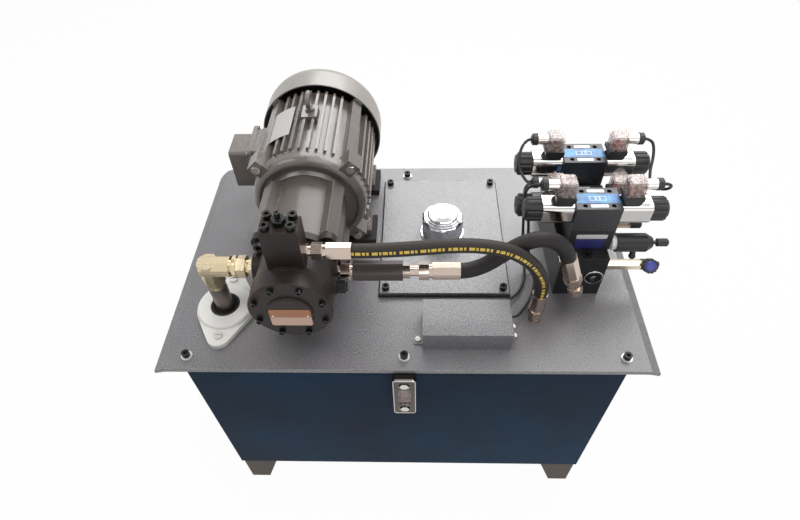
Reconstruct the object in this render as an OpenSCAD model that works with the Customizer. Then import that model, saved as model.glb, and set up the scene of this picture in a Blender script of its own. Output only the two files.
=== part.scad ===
// Hydraulic power unit: oil reservoir with a motor, a vane pump and a three-station valve stack.
// Millimetres. +Z is up, -Y is the front with the level gauge, the origin is on the floor under the lid.

/* [Tank] */
// Width of the tank body
tank_w = 690; // [640:1:760]
// Depth of the tank body
tank_d = 460; // [440:1:520]
// Height of the tank body without its feet
tank_h = 380; // [300:1:460]
// Thickness of the tank walls
tank_wall = 4; // [3:0.5:6]
// Thickness of the rim bar that carries the lid
rim_t = 10; // [8:1:14]
// How far the rim bar stands out past the side walls
rim_out = 14; // [10:1:20]
// Width of the rim bar inside the walls
rim_in = 32; // [28:1:40]
// Height of the feet under the tank
foot_h = 90; // [60:1:140]
// Width of a foot on the floor
foot_w = 38; // [30:1:60]
// Width of a foot where it joins the tank
foot_top_w = 70; // [62:1:110]
// Plate thickness of the feet
foot_t = 6; // [4:1:10]
// Height of the baffle plate above the tank floor
baffle_h = 240; // [160:1:270]

/* [Lid] */
// How far the lid stands out past the tank on each side
lid_side = 45; // [36:1:60]
// How far the lid stands out past the tank at the front and back
lid_front = 8; // [4:1:14]
// Thickness of the lid plate
lid_t = 8; // [6:1:12]
// Width of the bent lip along each side of the lid
lip_run = 14; // [8:1:18]
// Drop of the bent lip
lip_drop = 6; // [3:0.5:8]
// Radius of the two back corners
lid_corner_r = 28; // [10:1:40]
// Thickness of the lid gasket
gasket_t = 2; // [1:0.5:4]
// Thread diameter of the lid and cover screws
lid_screw_d = 8; // [6:1:10]

/* [Clean-out cover] */
// Width of the cover plate
cover_w = 218; // [190:1:240]
// Depth of the cover plate
cover_d = 285; // [250:1:300]
// Thickness of the cover plate
cover_t = 6; // [4:1:10]
// Place of the cover's middle to the right of the lid's middle
cover_x = 66; // [60:1:75]
// Place of the cover's middle behind the lid's middle
cover_y = 47; // [40:1:55]
// Thickness of the cover gasket
cover_gasket_t = 3; // [2:0.5:5]
// Distance of the cover screws from the plate's edges
cover_screw_in = 10; // [9:1:14]

/* [Filler breather] */
// Radius of the breather cap over its flats
cap_r = 36; // [32:1:42]
// Height of the breather cap
cap_h = 46; // [36:1:60]
// Outer radius of the filler neck
neck_r = 26; // [20:1:27]
// Height of the neck above its flange
neck_h = 26; // [16:1:30]
// Depth of the strainer basket below the lid
basket_h = 120; // [60:1:180]

/* [Level gauge] */
// Width of the gauge frame
gauge_w = 36; // [30:1:46]
// Height of the gauge frame
gauge_h = 108; // [100:1:130]
// Depth of the gauge frame
gauge_d = 18; // [15:1:24]
// Distance between the two gauge bolts
gauge_pitch = 76; // [70:1:84]

/* [Junction box] */
// Width of the junction box
jbox_w = 139; // [110:1:150]
// Depth of the junction box
jbox_d = 68; // [56:1:72]
// Height of the junction box
jbox_h = 40; // [30:1:60]
// Sheet thickness of the junction box
jbox_t = 2; // [1:0.5:3]

/* [Drive] */
// Place of the drive axis to the left of the lid's middle
drive_x = 160; // [150:1:165]
// Height of the shaft above the lid
shaft_h = 112; // [106:1:125]
// Shaft radius of the motor
motor_shaft_r = 14; // [11:0.5:16]
// Shaft radius of the pump
pump_shaft_r = 9.5; // [8:0.5:12]
// Outer radius of the motor frame without fins
frame_r = 90; // [86:1:92]
// Height of the cooling fins
fin_h = 11; // [7:1:14]
// Thickness of a cooling fin
fin_t = 4.5; // [2:0.5:6]
// Number of places for fins around the frame
fin_count = 44; // [30:1:54]
// Length of the finned frame
frame_l = 160; // [140:1:190]
// Length of the front end shield with its flange
shield_l = 25; // [20:1:36]
// Length of the fan cover
fan_cover_l = 65; // [56:1:80]
// Outer radius of the fan cover
fan_cover_r = 110; // [108:1:110]
// Length of the pump bracket between motor and pump
bracket_l = 121; // [112:1:150]
// Outer radius of the pump bracket's barrel
bracket_r = 63; // [58:1:68]
// Thickness of the rubber pads under the motor feet
pad_t = 12; // [8:1:16]

/* [Pump] */
// Radius of the pump body
pump_r = 58; // [54:1:62]
// Length of the pump body
pump_body_l = 72; // [66:1:84]
// Radius of the front cover
pump_cover_r = 61; // [58:1:66]
// Thickness of the front cover
pump_cover_t = 26; // [20:1:34]
// Width of the pressure control block
control_w = 51; // [48:1:60]
// Depth of the pressure control block
control_d = 38; // [34:1:44]
// Height of the pressure control block
control_h = 67; // [56:1:80]

/* [Pipes and hoses] */
// Outer radius of the suction pipe
suction_r = 14.5; // [12:0.5:16]
// Radius of the round part of the suction flange
suction_flange_r = 48; // [44:1:54]
// Distance of the flange screws from the pipe
suction_screw_y = 58; // [54:1:66]
// Outer radius of the pressure hose
pressure_hose_r = 12; // [10:0.5:12.5]
// Outer radius of the drain hose
drain_hose_r = 10.4; // [9:0.1:11]
// Width across flats of the check valve body
check_af = 27; // [24:1:32]
// Length of the check valve body
check_l = 75; // [66:1:84]
// Outer radius of the solenoid cables
cable_r = 2.3; // [1.5:0.1:2.5]

/* [Valve stack] */
// Width of the manifold block
block_w = 75; // [70:1:84]
// Depth of the manifold block
block_d = 198; // [190:1:216]
// Height of the manifold block
block_h = 88; // [80:1:100]
// Distance between two valve stations
station_pitch = 54; // [51:1:58]
// Height of a sandwich valve
sandwich_h = 43; // [38:1:50]
// Width of a valve body
valve_w = 68; // [64:1:74]
// Depth of a valve body
valve_d = 48; // [44:1:50]
// Height of a valve body
valve_h = 45; // [42:1:52]
// Side of the square solenoid
solenoid_s = 36; // [32:1:38]
// Length of a solenoid
solenoid_l = 48; // [46:1:60]
// Length of a solenoid nut
coil_nut_l = 26; // [20:1:34]
// Radius of a valve spool
spool_r = 7; // [5:0.5:8]

/* [Hidden] */
$fn = 64;
fit = 0.3;
running = 0.05;
over = 1;

// Heights
tank_top = foot_h + tank_h;
lid_z = tank_top + gasket_t + lid_t;
cover_top = lid_z + cover_gasket_t + cover_t;

// Lid and tank outline
lid_w = tank_w + 2 * lid_side;
lid_d = tank_d + 2 * lid_front;
rim_half_w = tank_w / 2 + rim_out;
lid_screw_x = tank_w / 2 - 2;
lid_screw_y = tank_d / 2 - rim_in / 2;
lid_screw_spots = [for (x = [-lid_screw_x, 0, lid_screw_x], y = [-lid_screw_y, lid_screw_y]) [x, y]];
lid_screw_r = lid_screw_d / 2;
washer_t = 1.6;
tap_depth = 8;
cover_hole_in = 34;
cover_gasket_out = 2.5;
cover_screw_spots = [for (x = [-1, 1], y = [-1, 1])
  [cover_x + x * (cover_w / 2 - cover_screw_in), cover_y + y * (cover_d / 2 - cover_screw_in)]];

// Floor bolts in the soles of the feet
floor_hole_r = 5.5;
floor_hole_in = foot_w / 2 + foot_t / 2;

// Filler breather
neck_wall = 2;
neck_flange_r = cap_r + 4;
neck_flange_t = 3;
cap_wall = 2;
cap_lift_gap = 0.4;

// Level gauge
gauge_z = tank_top - 5 - gauge_h / 2;
gauge_y = -tank_d / 2;
gauge_bolt_r = 5;
gauge_head_r = 7.5;
gauge_head_t = 5;
gauge_slot_w = 17;
gauge_slot_h = 46;
gauge_slot_d = 11;

// Tank drain
drain_z = foot_h + 34;
drain_r = 10;
drain_boss_r = 20;
drain_boss_t = 14;

// Junction box
jbox_x = 98;
jbox_y = -(lid_d / 2 - 38 - jbox_d / 2);
jbox_tab_w = 16;
jbox_tab_l = 14;
jbox_screw_r = 2.5;

// Drive axis and the stations along it
axis_x = -drive_x;
fin_r = frame_r + fin_h;
shield_r = frame_r + 5;
flange_bolt_r = frame_r + 16;
axis_z = lid_z + shaft_h;
joint_y = 11;
frame_y0 = joint_y + shield_l;
frame_y1 = frame_y0 + frame_l;
rear_shield_t = 10;
fan_y0 = frame_y1 + 4;
fan_y1 = fan_y0 + fan_cover_l;
bracket_y0 = joint_y - bracket_l;
pump_y0 = bracket_y0 - pump_body_l;
pump_face_y = pump_y0 - pump_cover_t;
ear_w = 24;
ear_r = flange_bolt_r + 10;
ear_in = 4;
ear_l = 10;
shield_bolt_d = 8;
shield_hole_r = shield_bolt_d / 2 + fit;
rib_r = bracket_r + 17;
rib_w = 22;
rib_bolt_r = bracket_r + 7;
rib_bolt_d = 10;
bell_flange_t = 10;
bell_bolt_r = bracket_r - 19;
bell_bolt_d = 8;

// Motor insides
stator_gap = 0.6;
rotor_r = 48;
stator_r = frame_r - 8;
stator_l = 90;
stator_y0 = frame_y0 + (frame_l - stator_l) / 2;
bearing_r = motor_shaft_r + 16;
bearing_w = 14;
shaft_front_y = joint_y - 50;
fan_cover_wall = 2;
fan_hub_l = 24;
fan_blade_r = 94;
fan_y = frame_y1 + rear_shield_t + 8;
foot_x = frame_r - 5;
foot_l = 60;
foot_bolt_r = 5;
foot_out = 12;
foot_in = 22;
foot_plate_t = 14;
foot_ys = [frame_y0 + 21, frame_y0 + 21 + 132];

// Terminal box on the left of the motor
tbox_y = frame_y0 + 82;
tbox_z = 10;
tbox_w = 70;
tbox_h = 88;
tbox_pad_x = frame_r + 3;
tbox_base_t = 7;
tbox_rim_t = 8;
tbox_rim_over = 4;
tbox_cover_t = 40;
tbox_wall = 3;

// Pump ports and passages
port_flat = 4;
suction_port_x = pump_r + 8;
outlet_port_x = pump_r + port_flat;
suction_port_y = bracket_y0 - 14;
outlet_port_y = bracket_y0 - 22;
pump_flange_t = 12;
pump_flange_r = bracket_r + 2;
pump_pilot_r = bracket_r - 16;
pump_pilot_l = 8;
chamber_r = 38;
chamber_off = 3;
chamber_l = 30;
chamber_y0 = pump_y0;
vane_rotor_r = 33;
vane_count = 9;
pump_shaft_y1 = bracket_y0 + 38;
cover_bolt_r = pump_cover_r - 9;
cover_boss_r = 33;
control_y0 = pump_y0 + 4;
control_y1 = control_y0 + control_d;
control_z0 = pump_cover_r + 1;
control_top = control_z0 + control_h;
control_port_z = control_z0 + 13;
control_screw_d = 8;
control_port_y = control_y0 + control_d / 2;
adjuster_r = 4;
volume_y = pump_y0 + 22;
volume_r = 12;
volume_l = 16;
volume_shank_r = 6;
volume_boss_x = pump_r + 5;

// Suction line
suction_in = 47;
suction_x = -tank_w / 2 + suction_in;
suction_y = suction_port_y;
elbow_r = suction_r + 1;
nipple_l = 38;
elbow_drop = 44;
suction_base_t = 8;
suction_disc_t = 7;
suction_hole_r = suction_r + 9.5;
suction_lobe_r = 19;
strainer_r = 38;
strainer_h = 110;
strainer_z = foot_h + tank_wall + 40;

// Hose ends: neck, nut and ferrule lengths
pressure_neck_l = 24;
pressure_nut_l = 20;
pressure_ferrule_l = 42;
pressure_end_l = pressure_neck_l + pressure_nut_l + pressure_ferrule_l;
drain_neck_l = 10;
drain_nut_l = 20;
drain_ferrule_l = 35;
drain_end_l = drain_neck_l + drain_nut_l + drain_ferrule_l;
ferrule_wall = 1.2;
outlet_fitting_l = 22;
outlet_x = axis_x + outlet_port_x;
check_x0 = outlet_x + outlet_fitting_l;
check_x1 = check_x0 + check_l;
pressure_start = [check_x1 + pressure_end_l, outlet_port_y, axis_z];
drain_start = [axis_x + control_w / 2 + drain_end_l, control_port_y, axis_z + control_port_z];
drain_foot = [211, -139];
drain_pipe_l = 200;
poppet_r = 7;
poppet_l = 20;
poppet_travel = 4;

// Valve stack
block_x0 = 248;
block_y0 = -89;
stack_x = block_x0 + block_w / 2 + 6;
first_station = 45;
block_top = lid_z + block_h;
station_ys = [for (i = [0:2]) block_y0 + first_station + i * station_pitch];
raised = [1, 0, 1];
valve_zs = [for (i = [0:2]) block_top + raised[i] * sandwich_h];
spool_z = 24;
port_r = 7.6;
port_depth = 22;
port_zs = [62, 28];
elbow_x = block_x0 + 25;
elbow_out = 28;
elbow_z = 44;
elbow_tilt = 19;
elbow_dir = [-sin(elbow_tilt), 0, cos(elbow_tilt)];
elbow_knee = [elbow_x, block_y0 - elbow_out, lid_z + elbow_z];
elbow_knee_r = 11;
plug_x = block_x0 + block_w - 16;
plug_r = 10;
return_pipe_l = 220;
valve_hole_r = 3.6;
valve_hole_x = valve_w / 2 - 13;
valve_hole_y = valve_d / 2 - 8;
valve_hole_d = 9;
conn_in = 16;
conn_s = 28;
conn_base_h = 15;
conn_cap_h = 26;
conn_cap_s = 26;
conn_wall = 1.5;
gland_l = 26;
gland_r = 8.5;
gland_z = 16;
armature_r = 9;
pin_r = 2.5;
spool_travel = 3;
pin_end_in = 4;
adjust_y = 20;
adjust_z = 12;
adjust_r = 15;
adjust_l = 60;
adjust_collar_l = 7;
adjust_stem_r = 3;
adjust_knob_r = 6.5;
adjust_knob_l = 18;
adjust_stem_l = 8;
cartridge_collar_l = 14;
cartridge_l = 26;
cartridge_af = 11;
cartridge_cap_l = 18;
gauge_stem_l = 58;
gauge_stem_af = 15;
gauge_stem_y = 14;
gauge_stem_z = 60;
gauge_body_r = 12;
gauge_body_l = 20;
gauge_knob_r = 12;
gauge_knob_l = 9;
gauge_turn = 38;

// Routes of the hoses and cables, measured from the lid's top face
drain_route = [[-46, -159, 187], [-24, -158, 187], [4, -157, 188], [34, -155, 189], [66, -153, 190],
  [98, -151, 188], [126, -150, 183], [150, -149, 174], [170, -148, 160], [187, -146, 141], [200, -143, 118],
  [208, -140, 97], [211, -139, 78]];
pressure_route = [[90, -132, 112], [100, -131, 113], [114, -129, 117], [128, -127, 125], [141, -126, 137],
  [154, -125, 149], [170, -123, 160], [188, -121, 167], [206, -119, 167], [222, -118, 159], [234, -117, 147]];
front_cable = [[197, -43, 203], [191, -38, 196], [188, -29, 182], [188, -21, 162], [191, -17, 134],
  [195, -16, 98], [199, -18, 62], [203, -23, 32], [206, -34, 12], [206, -48, 6], [203, -64, 5],
  [192, -88, 5], [177, -104, 7], [164, -114, 9], [158, -122, 10]];
middle_cable = [[197, 6, 161], [192, 1, 156], [192, -8, 144], [197, -14, 124], [203, -16, 100],
  [207, -18, 70], [211, -22, 40], [217, -30, 16], [222, -42, 7], [222, -62, 5], [215, -88, 5],
  [206, -108, 5], [196, -124, 7], [186, -138, 9], [178, -144, 10]];
left_jumper = [[197, 63, 203], [190, 58, 198], [185, 49, 190], [183, 38, 179], [186, 27, 169],
  [195, 13, 161]];
front_jumper = [[387, -43, 203], [394, -41, 198], [397, -34, 187], [396, -23, 175], [392, -10, 166],
  [388, 7, 161]];
rear_jumper = [[387, 63, 203], [394, 60, 199], [397, 53, 189], [396, 43, 178], [392, 30, 168],
  [388, 13, 161]];

// Box between two corners
module box(lo, hi) {
  translate(lo) cube(hi - lo);
}

// Round bars along each axis
module rod_x(x0, x1, r) {
  translate([x0, 0, 0]) rotate([0, 90, 0]) cylinder(r = r, h = x1 - x0);
}

module rod_y(y0, y1, r) {
  translate([0, y0, 0]) rotate([-90, 0, 0]) cylinder(r = r, h = y1 - y0);
}

module rod_z(z0, z1, r) {
  translate([0, 0, z0]) cylinder(r = r, h = z1 - z0);
}

// Hexagon bar along X with two corners up and down, given across flats
module hex_x(x0, x1, af) {
  translate([x0, 0, 0]) rotate([0, 90, 0]) cylinder(r = af / 2 / cos(30), h = x1 - x0, $fn = 6);
}

// Flat outline in X and Z carried along Y
module along_y(y0, y1) {
  translate([0, y1, 0]) rotate([90, 0, 0]) linear_extrude(y1 - y0) children();
}

// Flat outline in Y and Z carried along X
module along_x(x0, x1) {
  translate([x0, 0, 0]) rotate([90, 0, 90]) linear_extrude(x1 - x0) children();
}

// Outline of radius and distance turned about the Y axis
module about_y() {
  rotate([-90, 0, 0]) rotate_extrude() children();
}

// Rectangle with round corners about its middle
module rounded_rect(w, d, r) {
  square([w - 2 * r, d], center = true);
  square([w, d - 2 * r], center = true);
  for (x = [-1, 1], y = [-1, 1]) translate([x * (w / 2 - r), y * (d / 2 - r)]) circle(r);
}

// Socket head screw, head on z = 0 and shank below it
module socket_screw(d, l) {
  difference() {
    union() {
      cylinder(r = 0.78 * d, h = d);
      translate([0, 0, -l]) cylinder(r = d / 2, h = l);
    }
    translate([0, 0, d / 2]) cylinder(r = 0.44 * d, h = d, $fn = 6);
  }
}

// Hexagon head screw, head on z = 0 and shank below it
module hex_screw(d, l) {
  cylinder(r = 0.95 * d, h = 0.65 * d, $fn = 6);
  translate([0, 0, -l]) cylinder(r = d / 2, h = l);
}

// Round screw with a slotted head on z = 0
module slot_screw(d, l) {
  difference() {
    union() {
      cylinder(r = 0.9 * d, h = 0.5 * d);
      translate([0, 0, -l]) cylinder(r = d / 2, h = l);
    }
    translate([-d, -0.1 * d, 0.3 * d]) cube([2 * d, 0.2 * d, d]);
  }
}

// Places its children on the drive axis
module on_axis() {
  translate([axis_x, 0, axis_z]) children();
}

// Four places around the drive axis, the first one at an angle from the right
module around_axis(r, first) {
  for (i = [0:3]) rotate([0, -first - 90 * i, 0]) translate([r, 0, 0]) children();
}

// One tube swept along a route, with rings that keep their turn from point to point
function unit(v) = v / norm(v);
function heading(p, i) =
  i == 0 ? unit(p[1] - p[0]) :
  i == len(p) - 1 ? unit(p[i] - p[i - 1]) :
  unit(unit(p[i + 1] - p[i]) + unit(p[i] - p[i - 1]));
function carried(v, t) = unit(v - (v * t) * t);
function ring_sides(p, last, i = 0) =
  i == len(p) ? [] :
  let (v = carried(last, heading(p, i))) concat([v], ring_sides(p, v, i + 1));
function above_lid(p) = [for (q = p) q + [0, 0, lid_z]];

module tube(p, r, sides) {
  n = len(p);
  first = abs(heading(p, 0).z) < 0.9 ? [0, 0, 1] : [0, 1, 0];
  us = ring_sides(p, first);
  points = [for (i = [0:n - 1], j = [0:sides - 1])
    let (t = heading(p, i), a = 360 * j / sides)
    p[i] + r * (cos(a) * us[i] + sin(a) * cross(t, us[i]))];
  walls = [for (i = [0:n - 2], j = [0:sides - 1])
    let (a = i * sides + j, b = i * sides + (j + 1) % sides)
    each [[a, a + sides, b + sides], [a, b + sides, b]]];
  start = [for (j = [0:sides - 1]) j];
  end = [for (j = [sides - 1:-1:0]) (n - 1) * sides + j];
  polyhedron(points, concat([start], walls, [end]));
}

// Straight hose end along +X: neck, hexagon nut, collar and crimped ferrule
module hose_end(neck_l, nut_l, ferrule_l, hose_r) {
  ferrule_r = hose_r + ferrule_wall;
  collar_l = nut_l / 4;
  rod_x(0, neck_l, 0.72 * hose_r);
  hex_x(0, neck_l * 0.45, 1.75 * hose_r);
  hex_x(neck_l, neck_l + nut_l - collar_l, 2.1 * hose_r);
  rod_x(neck_l + nut_l - collar_l, neck_l + nut_l, 0.95 * hose_r);
  translate([neck_l + nut_l, 0, 0]) rotate([0, 90, 0]) rotate(22.5)
    cylinder(r = ferrule_r / cos(22.5), h = ferrule_l, $fn = 8);
}

// Tank

module lid_screw_holes(z0, z1) {
  for (p = lid_screw_spots) translate([p.x, p.y, 0]) rod_z(z0, z1, lid_screw_r + fit);
}

module tank_shell() {
  half_w = tank_w / 2;
  half_d = tank_d / 2;
  color("darkslategray") difference() {
    union() {
      difference() {
        box([-half_w, -half_d, foot_h], [half_w, half_d, tank_top]);
        box([-half_w + tank_wall, -half_d + tank_wall, foot_h + tank_wall],
          [half_w - tank_wall, half_d - tank_wall, tank_top + over]);
      }
      difference() {
        box([-rim_half_w, -half_d, tank_top - rim_t], [rim_half_w, half_d, tank_top]);
        box([-half_w + rim_in, -half_d + rim_in, tank_top - rim_t - over],
          [half_w - rim_in, half_d - rim_in, tank_top + over]);
      }
      box([-tank_wall / 2, -half_d + over, foot_h + over],
        [tank_wall / 2, half_d - over, foot_h + tank_wall + baffle_h]);
      translate([0, 0, drain_z]) rod_y(half_d - over, half_d + drain_boss_t - tank_wall, drain_boss_r);
    }
    lid_screw_holes(tank_top - tap_depth, tank_top + over);
    for (z = [-1, 1]) translate([0, 0, gauge_z + z * gauge_pitch / 2])
      rod_y(-half_d - over, -half_d + tank_wall + over, gauge_bolt_r + fit);
    translate([0, 0, drain_z]) rod_y(half_d - tank_wall - over, half_d + drain_boss_t, drain_r + fit);
  }
}

// One foot at the corner of the first quadrant: two sloping plates and a sole
module foot() {
  reach = foot_top_w;
  outline = [[0, 0], [-foot_w, 0], [-reach, foot_h], [0, foot_h]];
  along_y(-foot_t, 0) polygon(outline);
  along_x(-foot_t, 0) polygon(outline);
  difference() {
    box([-foot_w, -foot_w, 0], [0, 0, foot_t]);
    translate([-floor_hole_in, -floor_hole_in, 0]) rod_z(-over, foot_t + over, floor_hole_r);
  }
}

module tank_feet() {
  inset = 3;
  color("dimgray") for (x = [0, 1], y = [0, 1])
    mirror([x, 0, 0]) mirror([0, y, 0]) translate([tank_w / 2 - inset, tank_d / 2 - inset, 0]) foot();
}

// Plan of the lid: square front corners, round back corners
module lid_plan() {
  difference() {
    square([lid_w, lid_d], center = true);
    for (s = [-1, 1]) translate([s * (lid_w / 2 - lid_corner_r), lid_d / 2 - lid_corner_r]) difference() {
      translate([min(0, s * (lid_corner_r + over)), 0]) square(lid_corner_r + over);
      circle(lid_corner_r);
    }
  }
}

module lid() {
  flat = lid_w / 2 - lip_run;
  edge = lid_w / 2 + over;
  edge_drop = lip_drop * (lip_run + over) / lip_run;
  lip_t = lid_t - 2;
  profile = [[-flat, 0], [flat, 0], [edge, -edge_drop], [edge, -edge_drop - lip_t],
    [flat - 2, -lid_t], [-flat + 2, -lid_t], [-edge, -edge_drop - lip_t], [-edge, -edge_drop]];
  color("gray") difference() {
    intersection() {
      translate([0, 0, lid_z]) along_y(-lid_d, lid_d) polygon(profile);
      translate([0, 0, lid_z - 2 * lid_t - lip_drop]) linear_extrude(3 * lid_t + lip_drop) lid_plan();
    }
    lid_screw_holes(lid_z - 2 * lid_t, lid_z + over);
    translate([cover_x, cover_y, lid_z - lid_t - over]) linear_extrude(lid_t + 2 * over)
      square([cover_w - 2 * cover_hole_in, cover_d - 2 * cover_hole_in], center = true);
    for (p = cover_screw_spots) translate([p.x, p.y, 0])
      rod_z(lid_z - tap_depth + over, lid_z + over, lid_screw_r + fit);
    translate([suction_x, suction_y, 0]) rod_z(lid_z - lid_t - over, lid_z + over, suction_r + fit);
    translate([drain_foot.x, drain_foot.y, 0]) rod_z(lid_z - lid_t - over, lid_z + over,
      drain_hose_r + fit);
    translate([stack_x, station_ys[1], 0]) rod_z(lid_z - lid_t - over, lid_z + over, plug_r + fit);
    on_axis() for (s = [-1, 1], y = foot_ys) translate([s * foot_x, y, -shaft_h])
      rod_z(-lid_t - over, over, foot_bolt_r + fit);
    for (s = [-1, 1]) translate([suction_x, suction_y + s * suction_screw_y, 0])
      rod_z(lid_z - lid_t - over, lid_z + over, jbox_screw_r * 1.6 + fit);
    translate([jbox_x - jbox_w / 2 - jbox_tab_l / 2, jbox_y - jbox_d / 4, 0])
      rod_z(lid_z - lid_t - over, lid_z + over, jbox_screw_r + fit);
  }
}

module gaskets() {
  flange_top = suction_base_t + suction_disc_t;
  color("black") {
    difference() {
      box([-rim_half_w, -tank_d / 2, tank_top], [rim_half_w, tank_d / 2, tank_top + gasket_t]);
      box([-tank_w / 2 + rim_in, -tank_d / 2 + rim_in, tank_top - over],
        [tank_w / 2 - rim_in, tank_d / 2 - rim_in, tank_top + gasket_t + over]);
      lid_screw_holes(tank_top - over, tank_top + gasket_t + over);
    }
    difference() {
      translate([cover_x, cover_y, lid_z]) linear_extrude(cover_gasket_t) difference() {
        square([cover_w + 2 * cover_gasket_out, cover_d + 2 * cover_gasket_out], center = true);
        square([cover_w - 2 * cover_hole_in, cover_d - 2 * cover_hole_in], center = true);
      }
      for (p = cover_screw_spots) translate([p.x, p.y, 0])
        rod_z(lid_z - over, lid_z + cover_gasket_t + over, lid_screw_r + fit);
    }
    translate([suction_x, suction_y, lid_z]) rotate_extrude() polygon([
      [suction_r + fit, 0], [suction_hole_r - fit, 0], [suction_hole_r - fit, flange_top - 1],
      [suction_hole_r - 3, flange_top + 1], [suction_r + 2, suction_base_t + 2],
      [suction_r + fit, suction_base_t + 6]]);
  }
}

module lid_screws() {
  thread = lid_t + gasket_t + tap_depth - 2;
  color("black") {
    for (p = lid_screw_spots) translate([p.x, p.y, lid_z + washer_t]) socket_screw(lid_screw_d, thread);
    for (p = cover_screw_spots) translate([p.x, p.y, cover_top])
      socket_screw(lid_screw_d, cover_t + cover_gasket_t + tap_depth - 3);
  }
  color("silver") for (p = lid_screw_spots) translate([p.x, p.y, lid_z]) difference() {
    cylinder(r = 1.1 * lid_screw_d, h = washer_t);
    translate([0, 0, -over]) cylinder(r = lid_screw_r + fit, h = washer_t + 2 * over);
  }
}

module cleanout_cover() {
  color("lightgray") difference() {
    translate([cover_x, cover_y, lid_z + cover_gasket_t]) linear_extrude(cover_t)
      square([cover_w, cover_d], center = true);
    translate([cover_x, cover_y, 0]) rod_z(lid_z, cover_top + over, neck_r + fit);
    for (p = cover_screw_spots) translate([p.x, p.y, 0]) rod_z(lid_z, cover_top + over, lid_screw_r + fit);
  }
}

// Filler breather

module filler_neck() {
  inside = neck_r - neck_wall;
  color("silver") translate([cover_x, cover_y, cover_top]) rotate_extrude() polygon([
    [inside, -cover_t - lid_t], [neck_r, -cover_t - lid_t], [neck_r, 0], [neck_flange_r, 0],
    [neck_flange_r, neck_flange_t - 1], [neck_flange_r - 1, neck_flange_t], [neck_r, neck_flange_t],
    [neck_r, neck_h], [inside, neck_h]]);
}

// Mesh basket in the filler neck and the suction strainer at the foot of the pipe
module strainers() {
  basket_r = neck_r - neck_wall - fit;
  color("gainsboro") {
    translate([cover_x, cover_y, cover_top + neck_h]) difference() {
      union() {
        cylinder(r = neck_r, h = 1);
        translate([0, 0, -basket_h]) cylinder(r = basket_r, h = basket_h);
      }
      translate([0, 0, -basket_h + 1.5]) cylinder(r = basket_r - 1.5, h = basket_h + over);
    }
    translate([suction_x, suction_y, strainer_z]) difference() {
      union() {
        for (i = [0:10]) translate([0, 0, 8 + i * (strainer_h - 22) / 11])
          cylinder(r = strainer_r, h = (strainer_h - 22) / 22);
        cylinder(r = strainer_r, h = 6);
        translate([0, 0, strainer_h - 14]) cylinder(r = strainer_r, h = 6);
        translate([0, 0, 1]) cylinder(r = strainer_r - 3, h = strainer_h - 10);
        translate([0, 0, strainer_h - 10]) cylinder(r = suction_r + 6, h = 10, $fn = 6);
      }
      translate([0, 0, strainer_h - 12]) cylinder(r = suction_r + fit, h = 20);
    }
  }
}

module breather_cap() {
  bottom = cap_lift_gap + neck_flange_t;
  skirt_h = cap_h * 0.62;
  top = cap_h - skirt_h;
  flat_r = cap_r / cos(18);
  color("white") translate([cover_x, cover_y, cover_top + bottom]) difference() {
    union() {
      translate([0, 0, 4]) cylinder(r = flat_r, h = skirt_h - 4, $fn = 10);
      cylinder(r = cap_r + 1, h = 4);
      translate([0, 0, skirt_h]) rotate_extrude() polygon([[0, 0], [cap_r, 0], [cap_r - 1.5, 3],
        [cap_r - 3.5, 3.6], [cap_r - 4, 6.4], [cap_r - 6, 7], [cap_r - 6.5, 9.8], [cap_r - 8.5, 10.4],
        [cap_r - 9, 13.4], [cap_r - 11, top - 1], [cap_r - 15, top], [0, top]]);
    }
    translate([0, 0, -over]) cylinder(r = cap_r - cap_wall - 3, h = skirt_h + over);
  }
}

// Level gauge on the front wall

module level_gauge_frame() {
  color("gainsboro") difference() {
    along_y(gauge_y - gauge_d, gauge_y) translate([0, gauge_z]) difference() {
      rounded_rect(gauge_w, gauge_h, 4);
      for (z = [-1, 1]) translate([0, z * gauge_pitch / 2]) circle(gauge_bolt_r + fit);
    }
    along_y(gauge_y - gauge_d - over, gauge_y - gauge_d + gauge_slot_d)
      translate([0, gauge_z]) square([gauge_slot_w, gauge_slot_h], center = true);
    for (z = [-1, 1]) translate([0, 0, gauge_z + z * gauge_pitch / 2])
      rod_y(gauge_y - gauge_d - over, gauge_y - gauge_d + gauge_head_t, gauge_head_r + 1.5);
  }
}

module level_gauge_glass() {
  color("mistyrose") along_y(gauge_y - gauge_d + 2, gauge_y - gauge_d + gauge_slot_d)
    translate([0, gauge_z]) rounded_rect(gauge_slot_w - 2 * fit, gauge_slot_h - 2 * fit, 3);
}

// Bright screws of the gauge, the junction box, the suction flange and the terminal box
module panel_screws() {
  flange_top = lid_z + suction_base_t;
  tbox_face = tbox_pad_x + tbox_base_t + tbox_rim_t;
  color("silver") {
    for (z = [-1, 1]) translate([0, gauge_y - gauge_d + gauge_head_t, gauge_z + z * gauge_pitch / 2]) {
      rod_y(0, gauge_d - gauge_head_t + tank_wall + 8, gauge_bolt_r);
      rotate([90, 0, 0]) cylinder(r = gauge_head_r, h = gauge_head_t + 2, $fn = 6);
    }
    translate([jbox_x - jbox_w / 2 - jbox_tab_l / 2, jbox_y - jbox_d / 4, lid_z + jbox_t])
      slot_screw(2 * jbox_screw_r, lid_t);
    for (y = [0, 1]) translate([jbox_x + jbox_w / 2, jbox_y - y * jbox_d / 4, lid_z + jbox_h / 2.6])
      rotate([0, 90, 0]) slot_screw(2 * jbox_screw_r, 6);
    for (s = [-1, 1]) translate([suction_x, suction_y + s * suction_screw_y, flange_top])
      slot_screw(3.2 * jbox_screw_r, suction_base_t + lid_t - 2);
    on_axis() for (y = [-1, 1], z = [-1, 1])
      translate([-tbox_face, tbox_y + y * (tbox_w / 2 - 3), tbox_z + z * (tbox_h / 2 - 3)])
        rotate([0, -90, 0]) slot_screw(4, tbox_rim_t);
  }
}

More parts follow.
